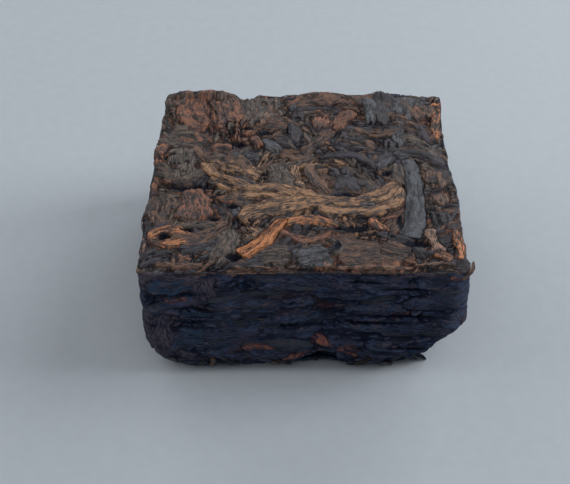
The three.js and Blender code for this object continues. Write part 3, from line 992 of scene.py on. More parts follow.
def top_leaves() -> list[Leaf]:
    """The leaves, buds and stalks of the top that can be told apart, listed one by one.

    Returns:
        Leaves with a rising seed, in the order of the rows.
    """
    ink, umber, rust, olive = Kind.INK, Kind.UMBER, Kind.RUST, Kind.OLIVE
    gold, amber, ash, tan = Kind.GOLD, Kind.AMBER, Kind.ASH, Kind.TAN
    roll, flat, stalk, stem = ROLLED, FLAT, STALK, STEM
    rows: list[tuple] = [
        # kind, form, start, end, width, level, shade, bow, width at the end
        # back left
        (rust, flat, (-9.9, 12.3), (-9.0, 7.4), 3.4, 0.3, 0.35, 0.3),
        (rust, roll, (-11.4, 11.2), (-9.2, 6.4), 1.3, 2.0, 0.8, -0.4),
        (umber, flat, (-12.3, 12.0), (-11.9, 8.2), 1.6, 0.6, 0.3),
        (olive, roll, (-11.9, 7.4), (-10.2, 7.1), 1.7, 1.0, 0.6),
        (rust, flat, (-7.4, 12.4), (-6.6, 7.9), 2.6, 1.0, 0.3),
        (umber, roll, (-5.6, 11.4), (-5.3, 7.6), 1.2, 0.9, 0.45, 0.2),
        (olive, flat, (-3.6, 12.2), (-3.0, 7.4), 3.4, 0.6, 0.35),
        (tan, roll, (-1.9, 10.4), (-3.6, 7.5), 0.7, 1.3, 0.25, -0.5),
        (ink, roll, (-0.9, 12.1), (-0.7, 4.0), 1.7, 0.9, 0.4, 0.4),
        (umber, roll, (-0.4, 12.1), (5.0, 11.8), 1.9, 1.0, 0.4),
        (rust, roll, (1.2, 10.7), (1.5, 7.0), 1.6, 1.1, 0.45, 0.3),
        (rust, roll, (4.7, 10.1), (2.6, 6.6), 1.5, 1.7, 0.65, -0.2),
        (umber, roll, (2.9, 7.2), (0.0, 3.0), 1.4, 1.5, 0.7, -0.2),
        (ash, roll, (6.0, 12.4), (6.4, 7.6), 1.1, 1.6, 0.3),
        (ink, roll, (7.3, 13.0), (7.3, 7.6), 1.3, 1.4, 0.55, -0.2),
        (ash, flat, (10.2, 12.3), (9.4, 8.4), 3.4, 0.4, 0.25),
        (amber, roll, (12.2, 11.6), (12.0, 5.2), 1.0, 1.9, 0.15),
        (umber, roll, (4.6, 7.2), (8.7, 6.9), 1.1, 1.8, 0.85, -0.9),
        (ink, flat, (4.4, 6.3), (3.0, 4.2), 2.2, 0.5, 0.5),
        (umber, roll, (5.4, 5.2), (6.3, 3.6), 0.9, 1.4, 0.8, 0.3),
        (ink, roll, (7.6, 5.6), (6.4, 1.1), 1.1, 1.2, 0.6, 0.3),
        (ash, roll, (9.0, 7.9), (8.6, 4.2), 1.2, 1.3, 0.25, -0.2),
        (olive, roll, (9.2, 5.8), (11.8, 1.6), 1.3, 1.1, 0.5, 0.4),
        (ink, roll, (10.6, 8.0), (10.9, 4.4), 1.6, 0.7, 0.4),
        # arches over the folded round leaf
        (ink, roll, (1.3, 2.4), (6.4, 0.9), 1.2, 1.7, 0.65, 1.3),
        (ash, roll, (6.4, 0.9), (9.2, 2.9), 1.1, 1.5, 0.3, 0.5),
        (ink, roll, (9.0, 3.2), (12.3, 0.9), 1.2, 1.4, 0.6, 0.6),
        (ink, roll, (2.5, 1.0), (3.2, -2.2), 1.3, 1.25, 0.5, 0.3),
        (ink, roll, (3.5, 1.3), (4.4, -2.5), 1.3, 1.45, 0.6, -0.35),
        (ink, roll, (4.7, 1.0), (5.3, -1.7), 1.1, 1.2, 0.45, -0.4),
        (umber, roll, (2.9, -0.2), (5.4, -0.8), 1.2, 1.0, 0.2, 0.3),
        # left, behind the long cross crack
        (olive, flat, (-12.1, 5.6), (-8.4, 5.2), 2.4, 0.7, 0.3),
        (rust, roll, (-12.3, 4.6), (-12.1, 1.2), 1.1, 1.3, 0.7),
        (olive, flat, (-10.9, 3.9), (-10.6, -0.9), 2.8, 0.7, 0.4),
        (rust, roll, (-8.0, 4.5), (-6.3, 4.0), 1.7, 1.5, 0.5),
        (umber, roll, (-9.4, 4.4), (-8.2, 1.8), 1.2, 1.1, 0.55, -0.2),
        (rust, roll, (-4.7, 5.9), (-3.7, 4.2), 1.0, 1.3, 0.45),
        (ash, roll, (-3.7, 5.6), (-2.2, 3.2), 1.1, 1.0, 0.15),
        (ash, roll, (-6.4, 3.4), (-3.6, 2.6), 1.4, 0.6, 0.1),
        (umber, roll, (-5.9, 3.2), (-4.6, 0.6), 1.3, 1.2, 0.85),
        (umber, roll, (-2.2, 3.2), (0.8, 2.4), 1.1, 1.5, 0.85, -0.4),
        (olive, roll, (-7.6, 3.1), (-6.5, 1.0), 1.0, 0.8, 0.6),
        (umber, roll, (-12.2, -0.6), (-8.6, -0.9), 1.2, 0.6, 0.3, 0.2),
        # gold leaves of the middle
        (gold, roll, (-8.3, 1.6), (-3.6, -0.2), 1.8, 1.6, 0.45, 0.4),
        (gold, roll, (-8.7, 1.5), (-2.9, -2.6), 1.05, 2.2, 0.85, -0.5),
        (gold, roll, (-8.2, -0.4), (-4.6, -2.6), 1.2, 1.5, 0.5),
        (olive, roll, (-2.7, 1.9), (-1.8, -2.0), 1.3, 1.55, 0.75, -0.2),
        (olive, roll, (-1.7, 2.0), (-0.6, -2.4), 1.3, 1.7, 0.85, -0.3),
        (gold, roll, (-0.9, 1.6), (0.5, -2.7), 1.1, 1.5, 0.3, -0.3),
        (gold, roll, (-4.5, -1.8), (1.3, -3.1), 1.25, 2.1, 0.75, 0.3),
        (gold, roll, (-5.2, -2.9), (0.2, -3.4), 0.9, 1.5, 0.35, 0.1),
        (umber, roll, (0.3, 1.5), (2.3, -2.9), 1.1, 1.7, 0.7, -0.2),
        (gold, roll, (-5.3, -6.0), (3.2, -3.6), 2.3, 2.6, 0.55, 0.5, 1.6),
        (gold, roll, (-3.9, -4.4), (2.4, -3.3), 0.9, 2.3, 0.8, 0.35),
        (gold, roll, (2.4, -3.9), (8.2, -1.3), 1.5, 2.6, 0.7, -0.9),
        (gold, roll, (8.4, -1.6), (6.2, -4.9), 1.0, 2.3, 0.6, 0.7),
        (gold, roll, (7.2, -4.7), (1.2, -4.7), 1.2, 2.2, 0.7, 0.5),
        (ash, roll, (2.8, -4.4), (6.2, -4.2), 0.6, 1.3, 0.3),
        # left, in front of the crack
        (rust, roll, (-9.4, -1.9), (-8.8, -6.4), 2.3, 1.9, 0.60, 0.2, 3.1),
        (umber, roll, (-11.6, -2.8), (-11.4, -6.9), 2.1, 1.2, 0.45),
        (rust, roll, (-7.3, -3.2), (-5.6, -3.6), 0.9, 1.9, 0.4),
        (ink, roll, (-6.9, -5.2), (-6.2, -5.0), 1.1, 1.3, 0.5),
        (ash, roll, (-6.2, -4.2), (-5.0, -5.6), 1.0, 1.6, 0.3),
        (olive, roll, (-10.4, -6.9), (-7.0, -7.0), 1.1, 1.3, 0.75),
        (ink, roll, (-12.2, -7.3), (-10.4, -7.1), 0.9, 0.9, 0.4),
        (amber, roll, (-12.4, -8.7), (-8.9, -8.2), 0.95, 2.2, 0.30, 0.85),
        (amber, roll, (-12.4, -8.3), (-8.9, -8.7), 1.05, 2.1, 0.20, -0.85),
        (umber, roll, (-10.1, -8.9), (-6.0, -6.6), 1.5, 1.9, 0.7, -0.7),
        (ink, roll, (-11.9, -10.9), (-7.6, -9.6), 1.2, 1.2, 0.4),
        (rust, roll, (-9.7, -11.1), (-8.8, -11.0), 0.9, 1.7, 0.75),
        (olive, roll, (-5.7, -7.2), (-7.0, -12.2), 1.8, 1.5, 0.45, 0.5),
        (umber, roll, (-11.9, -12.1), (-7.6, -12.0), 0.9, 1.2, 0.55),
        (gold, roll, (-4.9, -7.0), (-4.0, -8.6), 1.3, 1.4, 0.2),
        # front
        (amber, stem, (-5.1, -10.6), (-1.3, -6.4), 1.75, 3.0, 0.75, -0.25, 0.95),
        (amber, roll, (-1.8, -6.9), (3.0, -7.2), 1.1, 2.2, 0.35, 0.8),
        (rust, roll, (-1.9, -7.4), (2.4, -8.0), 0.9, 1.9, 0.85, -1.0),
        (ink, roll, (-0.9, -7.3), (-0.2, -7.2), 1.1, 1.7, 0.5),
        (ink, roll, (0.4, -7.4), (5.0, -7.4), 0.7, 1.2, 0.5),
        (amber, roll, (5.5, -5.7), (7.0, -7.9), 0.9, 2.0, 0.1, -0.3),
        (umber, roll, (7.0, -7.9), (7.9, -5.4), 0.9, 2.0, 0.8, -0.5),
        (ink, roll, (4.9, -7.3), (9.6, -11.6), 1.2, 1.5, 0.6, 0.9),
        (olive, roll, (2.0, -8.4), (2.4, -11.0), 0.7, 1.9, 0.5, 0.6),
        (olive, flat, (-3.7, -10.8), (-1.1, -10.5), 2.0, 1.3, 0.4),
        (ash, flat, (-0.6, -11.4), (2.0, -10.6), 2.2, 1.2, 0.05),
        (umber, flat, (2.8, -10.6), (6.3, -10.3), 3.0, 1.3, 0.3),
        (umber, flat, (6.0, -9.7), (8.2, -10.7), 2.3, 1.1, 0.2),
        (tan, roll, (1.7, -12.1), (2.1, -11.6), 0.6, 1.8, 0.6),
        (ash, roll, (-4.4, -11.6), (-2.9, -11.9), 1.3, 1.0, 0.2),
        (tan, roll, (-5.6, -12.2), (-0.8, -12.3), 0.35, 1.5, 0.25),
        (tan, roll, (2.6, -12.2), (8.6, -12.2), 0.3, 1.4, 0.3),
        (tan, roll, (8.4, -12.0), (12.2, -11.9), 0.45, 1.5, 0.35),
        (olive, roll, (-4.4, -9.4), (-3.0, -8.0), 0.8, 0.9, 0.3),
        # right
        (ash, stalk, (9.1, 2.2), (8.5, -8.6), 1.15, 2.9, 0.55, 0.55, 1.95),
        (olive, roll, (8.0, 1.6), (8.2, -0.6), 1.3, 1.4, 0.6),
        (umber, roll, (11.2, 0.6), (11.3, -2.2), 1.9, 1.0, 0.35),
        (umber, roll, (11.1, -2.8), (11.5, -4.6), 1.7, 1.2, 0.5),
        (ink, roll, (11.1, -5.0), (11.4, -6.8), 1.6, 1.0, 0.5),
        (tan, roll, (9.9, -7.2), (11.0, -11.0), 1.0, 1.8, 0.3, -0.2),
        (amber, roll, (10.4, -10.4), (11.6, -11.4), 0.9, 2.2, 0.35),
        (amber, roll, (12.3, -7.2), (12.3, -11.4), 0.7, 1.5, 0.1),
    ]
    leaves = []
    for number, row in enumerate(rows):
        kind, form, start, end, width, level, shade, *more = row
        bow = more[0] if more else 0.0
        end_width = more[1] if len(more) > 1 else None
        seed = SEED_STEP * (number + 1)
        width *= WIDENED
        leaves.append(Leaf(kind, form, start, end, width, crown_of_level(level), shade, bow, end_width, seed))
    return leaves


def front_leaves(mould: Mould) -> list[Leaf]:
    """The plates of leaf that show on the front, listed as (x, z).

    Args:
        mould: the brick's form.

    Returns:
        Leaves on the chart of the sides.
    """
    coal, ink, umber, rust = Kind.COAL, Kind.INK, Kind.UMBER, Kind.RUST
    rows: list[tuple] = [
        # kind, start, end, width, crown, shade, bow
        (ink, (-12.0, 9.8), (-8.7, 10.2), 1.5, 0.12, 0.95, -0.2),
        (rust, (-10.9, 8.5), (-9.0, 9.0), 0.9, 0.06, 0.35),
        (coal, (-12.4, 7.9), (-8.0, 7.5), 2.2, 0.00, 0.5),
        (umber, (-12.0, 6.7), (-10.0, 1.1), 3.4, 0.12, 0.2, -0.4),
        (umber, (-7.4, 10.7), (-7.0, 8.0), 2.3, 0.10, 0.1),
        (coal, (-8.3, 6.9), (-5.0, 7.3), 2.0, 0.08, 0.6),
        (coal, (-9.2, 4.9), (-6.7, 5.1), 2.1, 0.02, 0.55),
        (coal, (-6.6, 5.0), (-3.6, 5.4), 2.0, 0.08, 0.7),
        (coal, (-5.6, 9.6), (-3.0, 8.0), 2.2, 0.02, 0.6),
        (coal, (-3.4, 9.9), (0.8, 9.6), 1.6, 0.10, 0.5, 0.2),
        (coal, (-2.9, 7.5), (1.0, 8.0), 1.6, 0.06, 0.75),
        (coal, (-4.4, 6.1), (0.6, 6.3), 1.1, 0.10, 0.6, 0.2),
        (coal, (-3.0, 4.6), (1.6, 4.7), 1.6, 0.06, 0.65, -0.1),
        (coal, (-7.3, 2.9), (-4.6, 1.9), 1.9, 0.02, 0.5),
        (rust, (-5.6, 3.1), (-2.2, 3.1), 0.65, 0.14, 0.9, 0.1),
        (coal, (-4.4, 1.8), (-1.2, 1.6), 1.9, 0.08, 0.4),
        (rust, (0.9, 4.3), (2.6, 2.6), 1.2, 0.10, 0.45),
        (rust, (3.1, 3.4), (4.8, 2.4), 1.5, 0.06, 0.3),
        (coal, (0.8, 9.0), (6.2, 8.4), 1.5, 0.08, 0.6, -0.2),
        (coal, (1.9, 7.2), (8.6, 7.7), 1.2, 0.06, 0.65, 0.3),
        (coal, (4.2, 10.2), (8.2, 10.0), 1.3, 0.10, 0.5, 0.1),
        (coal, (8.9, 10.6), (9.8, 9.9), 1.1, 0.14, 0.8),
        (coal, (10.9, 10.9), (12.6, 10.7), 1.0, 0.08, 0.6),
        (coal, (9.6, 9.2), (12.2, 9.8), 1.7, 0.04, 0.6),
        (coal, (6.8, 8.7), (11.8, 8.1), 1.0, 0.10, 0.55, 0.1),
        (coal, (2.9, 5.9), (9.4, 6.3), 1.4, 0.10, 0.7, -0.3),
        (coal, (8.4, 6.9), (12.4, 7.2), 1.3, 0.02, 0.6),
        (coal, (3.2, 4.7), (10.0, 5.2), 1.1, 0.04, 0.6, 0.3),
        (coal, (9.4, 5.6), (12.4, 5.9), 1.2, 0.10, 0.65),
        (coal, (5.0, 3.4), (10.8, 4.3), 1.2, 0.10, 0.55, -0.3),
        (coal, (5.2, 2.2), (9.6, 2.9), 1.0, 0.04, 0.5, -0.2),
    ]
    leaves = []
    for number, row in enumerate(rows):
        kind, start, end, width, crown, shade, *more = row
        bow = more[0] if more else 0.0
        first, last = ((x + mould.half, z) for x, z in (start, end))
        seed = FRONT_SEED + SEED_STEP * number
        leaves.append(Leaf(kind, PLATE, first, last, width, crown, shade, bow, None, seed))
    return leaves


def corner_flakes() -> list[Leaf]:
    """The flakes that stand out at the front right corner, one at the rim and two at the foot.

    Returns:
        Leaves on the chart of the sides.
    """
    rows: list[tuple] = [
        # kind, start, end, width, width at the end, lift
        (Kind.TAN, (25.0, 10.6), (25.9, 11.4), 0.6, 0.25, 0.9),
        (Kind.COAL, (22.6, 0.5), (25.5, 0.0), 0.9, 0.30, 1.9),
        (Kind.COAL, (21.9, 0.4), (24.2, 0.0), 1.0, 0.50, 1.2),
    ]
    return [
        Leaf(kind, FLAT, start, end, width, 0.0, 0.5, 0.0, end_width, CORNER_SEED + SEED_STEP * number, lift)
        for number, (kind, start, end, width, end_width, lift) in enumerate(rows)
    ]


@dataclass(frozen=True)
class Zone:
    """An oval part of a chart where the kinds have weights of their own."""

    centre: tuple[float, float]
    reach: tuple[float, float]
    kinds: tuple[tuple[Kind, float], ...]

    def holds(self, place: Array) -> bool:
        """Says whether a place lies in the oval."""
        away = (place - np.array(self.centre)) / np.array(self.reach)
        return float(away @ away) < 1


@dataclass(frozen=True)
class Filling:
    """A pass of drawn leaves or fragments.

    Their direction is a noise of FLOW_GRAIN cycles a millimetre over the chart times flow, give or take the
    slope, in radians.
    Spans are (least, most). Where leaves are laid, one is kept when at least need of its plan is bare.
    """

    tries: int
    need: float
    length: tuple[float, float]
    width: tuple[float, float]
    crown: tuple[float, float]
    form: Form
    kinds: tuple[tuple[Kind, float], ...]
    slope: float
    flow: float = 0.0
    zones: tuple[Zone, ...] = ()
    shade: tuple[float, float] = (0.0, 0.9)


TOP_KINDS = ((Kind.INK, 0.30), (Kind.UMBER, 0.36), (Kind.RUST, 0.14), (Kind.OLIVE, 0.20))
SIDE_KINDS = ((Kind.COAL, 0.68), (Kind.INK, 0.12), (Kind.UMBER, 0.17), (Kind.RUST, 0.03))
FOOT_KINDS = ((Kind.COAL, 0.70), (Kind.INK, 0.24), (Kind.UMBER, 0.06))
COAL_ONLY = ((Kind.COAL, 1.0),)
RIM_KINDS = ((Kind.UMBER, 0.44), (Kind.INK, 0.50), (Kind.TAN, 0.06))
ANY_WAY = math.pi
FLOW_GRAIN = 0.17
TOP_ZONES = (
    Zone((0, -2), (7.5, 4.5), ((Kind.OLIVE, 0.4), (Kind.GOLD, 0.2), (Kind.UMBER, 0.25), (Kind.INK, 0.15))),
    Zone((5, -10.5), (5.5, 2.5), ((Kind.RUST, 0.45), (Kind.UMBER, 0.35), (Kind.INK, 0.2))),
    Zone((-9, -11), (5, 2.5), ((Kind.INK, 0.4), (Kind.UMBER, 0.35), (Kind.ASH, 0.25))),
    Zone((-6, 10.5), (7, 3.5), ((Kind.RUST, 0.4), (Kind.UMBER, 0.35), (Kind.OLIVE, 0.25))),
    Zone((5, 4), (7, 4), ((Kind.INK, 0.45), (Kind.UMBER, 0.3), (Kind.ASH, 0.1), (Kind.OLIVE, 0.15))),
)
# Holes are (u, v, reach along u, reach along v, depth) on the chart.
TOP_HOLES = (
    (-5.8, 4.7, 0.55, 0.35, 0.6), (-3.3, 6.3, 0.8, 0.3, 0.4), (-9.9, -1.75, 2.6, 0.25, 0.8),
    (-5.9, -4.4, 0.5, 0.4, 0.8), (-5.3, -10.9, 0.7, 0.3, 0.6), (9.0, -9.3, 1.0, 0.5, 0.8),
    (7.9, -6.7, 0.25, 1.0, 0.5), (-11.05, -8.45, 0.5, 0.35, 0.9), (3.9, -7.3, 1.6, 0.35, 0.7),
    (-9.3, -7.6, 0.6, 0.3, 0.6), (2.7, -9.7, 0.3, 0.6, 0.45), (-7.2, -6.0, 0.5, 0.3, 0.7),
    (3.6, -2.9, 1.2, 0.3, 0.6), (7.2, 0.2, 0.4, 0.4, 0.6), (-5.0, 7.2, 0.6, 0.25, 0.35),
)

TOP_PRESSED = (
    Filling(500, 0, (1.6, 4.5), (0.8, 1.8), (-0.45, -0.10), ROLLED, TOP_KINDS, 0.9, 4.0, TOP_ZONES),
    Filling(1500, 0, (1.8, 6.0), (0.45, 1.10), (-0.20, 0.10), ROLLED, TOP_KINDS, 0.5, 4.0, TOP_ZONES),
    Filling(260, 0, (1.2, 3.4), (0.7, 1.8), (-0.18, 0.10), FLAT, TOP_KINDS, 0.9, 4.0, TOP_ZONES),
)
SIDE_PRESSED = (
    Filling(420, 0, (2.5, 7.0), (1.0, 2.8), (-0.16, -0.02), PLATE, SIDE_KINDS, 0.40),
    Filling(420, 0, (2.5, 9.0), (0.7, 2.2), (-0.12, 0.05), PLATE, SIDE_KINDS, 0.25),
    Filling(260, 0, (1.0, 4.0), (0.4, 1.2), (-0.08, 0.05), PLATE, SIDE_KINDS, 0.6),
)
SIDE_FILLINGS = (
    Filling(60, 0.85, (2.5, 7.0), (0.7, 1.6), (-0.02, 0.08), PLATE, COAL_ONLY, 0.16),
    Filling(50, 0.80, (1.5, 4.0), (0.3, 0.6), (-0.02, 0.08), ROLLED, COAL_ONLY, 0.35),
)
# Level cracks of the front, of the other three sides, and the hollows along the foot.
SIDE_HOLES = (
    (19.9, 6.7, 4.0, 0.13, 0.7), (18.1, 6.0, 3.0, 0.12, 0.6), (20.2, 4.7, 3.4, 0.11, 0.6),
    (22.0, 3.3, 2.8, 0.12, 0.5), (21.0, 9.6, 2.2, 0.10, 0.5), (17.5, 10.2, 1.6, 0.10, 0.5),
    (8.6, 7.4, 1.2, 0.10, 0.5), (5.4, 5.5, 1.5, 0.10, 0.4), (15.6, 8.4, 1.9, 0.10, 0.5),
    (11.2, 5.6, 1.6, 0.10, 0.4),
    (39.0, 5.5, 4.0, 0.12, 0.6), (33.0, 8.0, 2.5, 0.11, 0.5), (47.0, 8.6, 3.0, 0.11, 0.5),
    (57.0, 6.2, 4.0, 0.12, 0.6), (70.0, 7.4, 3.0, 0.11, 0.5), (64.0, 4.2, 3.0, 0.11, 0.5),
    (82.0, 6.0, 4.0, 0.12, 0.6), (89.0, 8.4, 3.0, 0.11, 0.5), (96.0, 5.0, 2.6, 0.11, 0.5),
    (14.2, 0.2, 2.3, 1.4, 2.6), (6.2, 0.3, 1.0, 0.5, 1.6), (20.6, 1.0, 1.0, 0.4, 1.0),
    (10.4, 0.1, 0.9, 0.4, 1.2), (32.0, 0.3, 1.6, 0.6, 0.9), (45.0, 0.2, 1.4, 0.5, 0.9),
    (58.0, 0.3, 2.0, 0.6, 1.0), (69.0, 0.2, 1.3, 0.5, 0.9), (83.0, 0.3, 1.9, 0.6, 0.9),
    (94.0, 0.2, 1.2, 0.5, 0.8),
)
UNDER_PRESSED = (
    Filling(260, 0, (4.0, 9.0), (1.2, 3.2), (-0.20, -0.02), FLAT, SIDE_KINDS, ANY_WAY),
    Filling(300, 0, (2.0, 6.0), (0.8, 2.0), (-0.12, 0.02), FLAT, SIDE_KINDS, ANY_WAY),
)


@dataclass(frozen=True)
class Edging:
    """A row of drawn leaves along a line of the chart of the sides, such as the rim or the foot of the brick.

    Spans are (least, most). A leaf starts at a height of the first span and ends at one of the second. No
    leaf starts in the free span round the brick.
    """

    count: int
    length: tuple[float, float]
    width: tuple[float, float]
    start: tuple[float, float]
    end: tuple[float, float]
    crown: tuple[float, float]
    form: Form
    kinds: tuple[tuple[Kind, float], ...]
    free: tuple[float, float] = (0.0, 0.0)


RIM = Edging(70, (0.6, 3.0), (0.16, 0.32), (11.05, 11.4), (11.05, 11.4), (0.00, 0.10), PLATE, RIM_KINDS)
FOOT = Edging(
    120, (0.3, 1.8), (0.3, 0.9), (0.8, 2.2), (-0.1, 0.6), (0.02, 0.20), FLAT, FOOT_KINDS, (11.4, 17.0)
)


class LeafBed:
    """The leaves of one chart: those pressed into its mass, and those laid on it, in a heap for each kind."""

    def __init__(self, name: str, chart: Chart, seed: int, tones: dict[Kind, Colour]) -> None:
        """Starts with an empty heap for each kind.

        Args:
            name: first word of the pieces' names.
            chart: the chart that the leaves are laid on.
            seed: seed of every draw.
            tones: colour of each kind where it is pressed into the mass.
        """
        self.name = name
        self.chart = chart
        self.tones = tones
        self.rng = np.random.default_rng(seed)
        self.heaps = {kind: Heap() for kind in Kind}
        self.laid = 0
        self.pressed = 0

    def lay(self, leaf: Leaf) -> None:
        """Lays one leaf on the heap of its kind."""
        self.chart.lay(leaf, self.heaps[leaf.kind])
        self.laid += 1

    def lay_all(self, leaves: list[Leaf]) -> None:
        """Lays leaves from the highest crown down. Of equals, the later one in the list is higher."""
        for leaf in sorted(reversed(leaves), key=lambda one: -one.crown):
            self.lay(leaf)

    def kind_at(self, filling: Filling, place: Array) -> Kind:
        """Draws a kind by the weights of the first zone that holds a place."""
        kinds, weights = zip(*filling.kinds)
        for zone in filling.zones:
            if zone.holds(place):
                kinds, weights = zip(*zone.kinds)
                break
        return kinds[int(self.rng.choice(len(kinds), p=np.array(weights) / sum(weights)))]

    def draw(self, filling: Filling) -> Leaf:
        """Draws one leaf of a pass at a chance place and in a chance direction."""
        rng = self.rng
        length = rng.uniform(*filling.length)
        middle = rng.uniform(self.chart.low, self.chart.high)
        flow = filling.flow * noise(stack(*(FLOW_GRAIN * middle), 4.4))
        direction = flow + rng.uniform(-filling.slope, filling.slope)
        reach = length / 2 * np.array([math.cos(direction), math.sin(direction)])
        return Leaf(
            self.kind_at(filling, middle),
            filling.form,
            tuple(middle - reach),
            tuple(middle + reach),
            rng.uniform(*filling.width),
            rng.uniform(*filling.crown),
            rng.uniform(*filling.shade),
            rng.uniform(-0.08, 0.08) * length,
            None,
            rng.uniform(300, 900),
        )

    def fill(self, fillings: tuple[Filling, ...]) -> None:
        """Lays drawn leaves, pass by pass, wherever enough is bare."""
        for filling in fillings:
            for _ in range(filling.tries):
                leaf = self.draw(filling)
                if self.chart.bare_share(leaf) >= filling.need:
                    self.lay(leaf)

    def edge(self, edging: Edging) -> None:
        """Lays a row of leaves along an edge of the brick."""
        rng = self.rng
        kinds, weights = zip(*edging.kinds)
        for _ in range(edging.count):
            around = rng.uniform(self.chart.low[0], self.chart.high[0])
            length = rng.uniform(*edging.length) * rng.choice((-1, 1))
            if edging.free[0] < around < edging.free[1]:
                continue
            self.lay(Leaf(
                kinds[int(rng.choice(len(kinds), p=weights))],
                edging.form,
                (around, rng.uniform(*edging.start)),
                (around + length, rng.uniform(*edging.end)),
                rng.uniform(*edging.width),
                rng.uniform(*edging.crown),
                rng.uniform(0.1, 0.9),
                rng.uniform(-0.1, 0.1) * length,
                None,
                rng.uniform(300, 900),
            ))

    def press(self, fillings: tuple[Filling, ...]) -> None:
        """Presses drawn fragments into the mass, pass by pass."""
        for filling in fillings:
            self.press_all([self.draw(filling) for _ in range(filling.tries)])

    def press_all(self, leaves: list[Leaf]) -> None:
        """Presses leaves into the mass, each in the colour of its kind."""
        for leaf in leaves:
            self.pressed += 1
            self.chart.press(leaf, self.tones[leaf.kind], self.pressed)

    def make(self, mass: bpy.types.Material) -> None:
        """Makes the mass and one piece for each kind that has laid leaves."""
        shell = Heap()
        self.chart.shell(shell)
        shell.make(f"{self.name}_pressed_mass", mass)
        for kind, heap in self.heaps.items():
            if heap.count:
                heap.make(f"{self.name}_{kind.value}_leaves", FINISHES[kind].material())
        log.info("%s: %d laid, %d pressed", self.name, self.laid, self.pressed)


class Graph:
    """A short way to make shader nodes and join them."""

    def __init__(self, material: bpy.types.Material) -> None:
        """Starts an empty node tree."""
        material.use_nodes = True
        self.tree = material.node_tree
        self.tree.nodes.clear()

    def node(self, kind: str, inputs: dict | None = None, **settings: object) -> bpy.types.Node:
        """Makes a node.

        Args:
            kind: the node's type name.
            inputs: values or sockets for its inputs, by name or number.
            settings: its own properties.

        Returns:
            The node.
        """
        made = self.tree.nodes.new(kind)
        for name, value in settings.items():
            setattr(made, name, value)
        for key, value in (inputs or {}).items():
            if isinstance(value, bpy.types.NodeSocket):
                self.tree.links.new(value, made.inputs[key])
            else:
                made.inputs[key].default_value = value
        return made

    def math(self, operation: str, *values: object) -> bpy.types.NodeSocket:
        """Joins numbers by an operation."""
        return self.node("ShaderNodeMath", dict(enumerate(values)), operation=operation).outputs[0]

    def mix(self, factor: object, first: object, second: object, blend: str = "MIX") -> bpy.types.NodeSocket:
        """Mixes two colours."""
        inputs = {0: factor, 6: first, 7: second}
        return self.node("ShaderNodeMix", inputs, data_type="RGBA", blend_type=blend).outputs[2]

    def spread(
        self, value: object, start: tuple[float, float], end: tuple[float, float], kind: str = "LINEAR"
    ) -> bpy.types.NodeSocket:
        """Maps a number from one span to another, and keeps it in that one."""
        names = ("Value", "From Min", "From Max", "To Min", "To Max")
        inputs = dict(zip(names, (value, *start, *end)))
        return self.node("ShaderNodeMapRange", inputs, interpolation_type=kind).outputs[0]

    def ramp(self, factor: object, stops: list[tuple[float, Colour]]) -> bpy.types.NodeSocket:
        """Maps a number to colours by stops of (position, colour)."""
        made = self.node("ShaderNodeValToRGB", {0: factor})
        elements = made.color_ramp.elements
        while len(elements) < len(stops):
            elements.new(0.5)
        for element, (position, colour) in zip(elements, stops):
            element.position = position
            element.color = (*colour, 1.0)
        return made.outputs[0]


@dataclass(frozen=True)
class Pattern:
    """A noise on the grain: cycles a millimetre along a leaf and across it, octaves and their weight."""

    along: float
    across: float
    detail: float
    roughness: float = 0.60

    def socket(self, graph: Graph, grain: bpy.types.NodeSocket) -> bpy.types.NodeSocket:
        """Makes the noise."""
        scale = (self.along, self.across, self.across)
        placed = graph.node("ShaderNodeMapping", {"Vector": grain, "Scale": scale}).outputs[0]
        inputs = {"Vector": placed, "Scale": 1.0, "Detail": self.detail, "Roughness": self.roughness}
        return graph.node("ShaderNodeTexNoise", inputs).outputs[0]


FIBRES = Pattern(1.0, 8.0, 5, 0.80)
MOTTLE = Pattern(0.6, 0.9, 4)
SPECKLE = Pattern(2.2, 9.5, 2)
SPOTS = Pattern(8.0, 13.0, 3)
WORN = Pattern(1.0, 1.4, 3)

# How far the colour runs: what each mark and pattern adds to it, and where the sum starts.
# Relief lightens ridges and darkens valleys, partly wear and partly painted highlight and shade. Depth
# darkens gaps as painted shade. Fibres streak the colour, and they also paint shade into the grooves of the
# bump that the same fibres make.
TONE_START = -0.39
SHADE_WEIGHT = 0.42
FIBRE_WEIGHT = 3.4
MOTTLE_WEIGHT = 0.9
RELIEF_WEIGHT = 1.5
DEPTH_WEIGHT = -0.35
TONE_POWER = 1.4
BUMP_DEPTH = 0.55


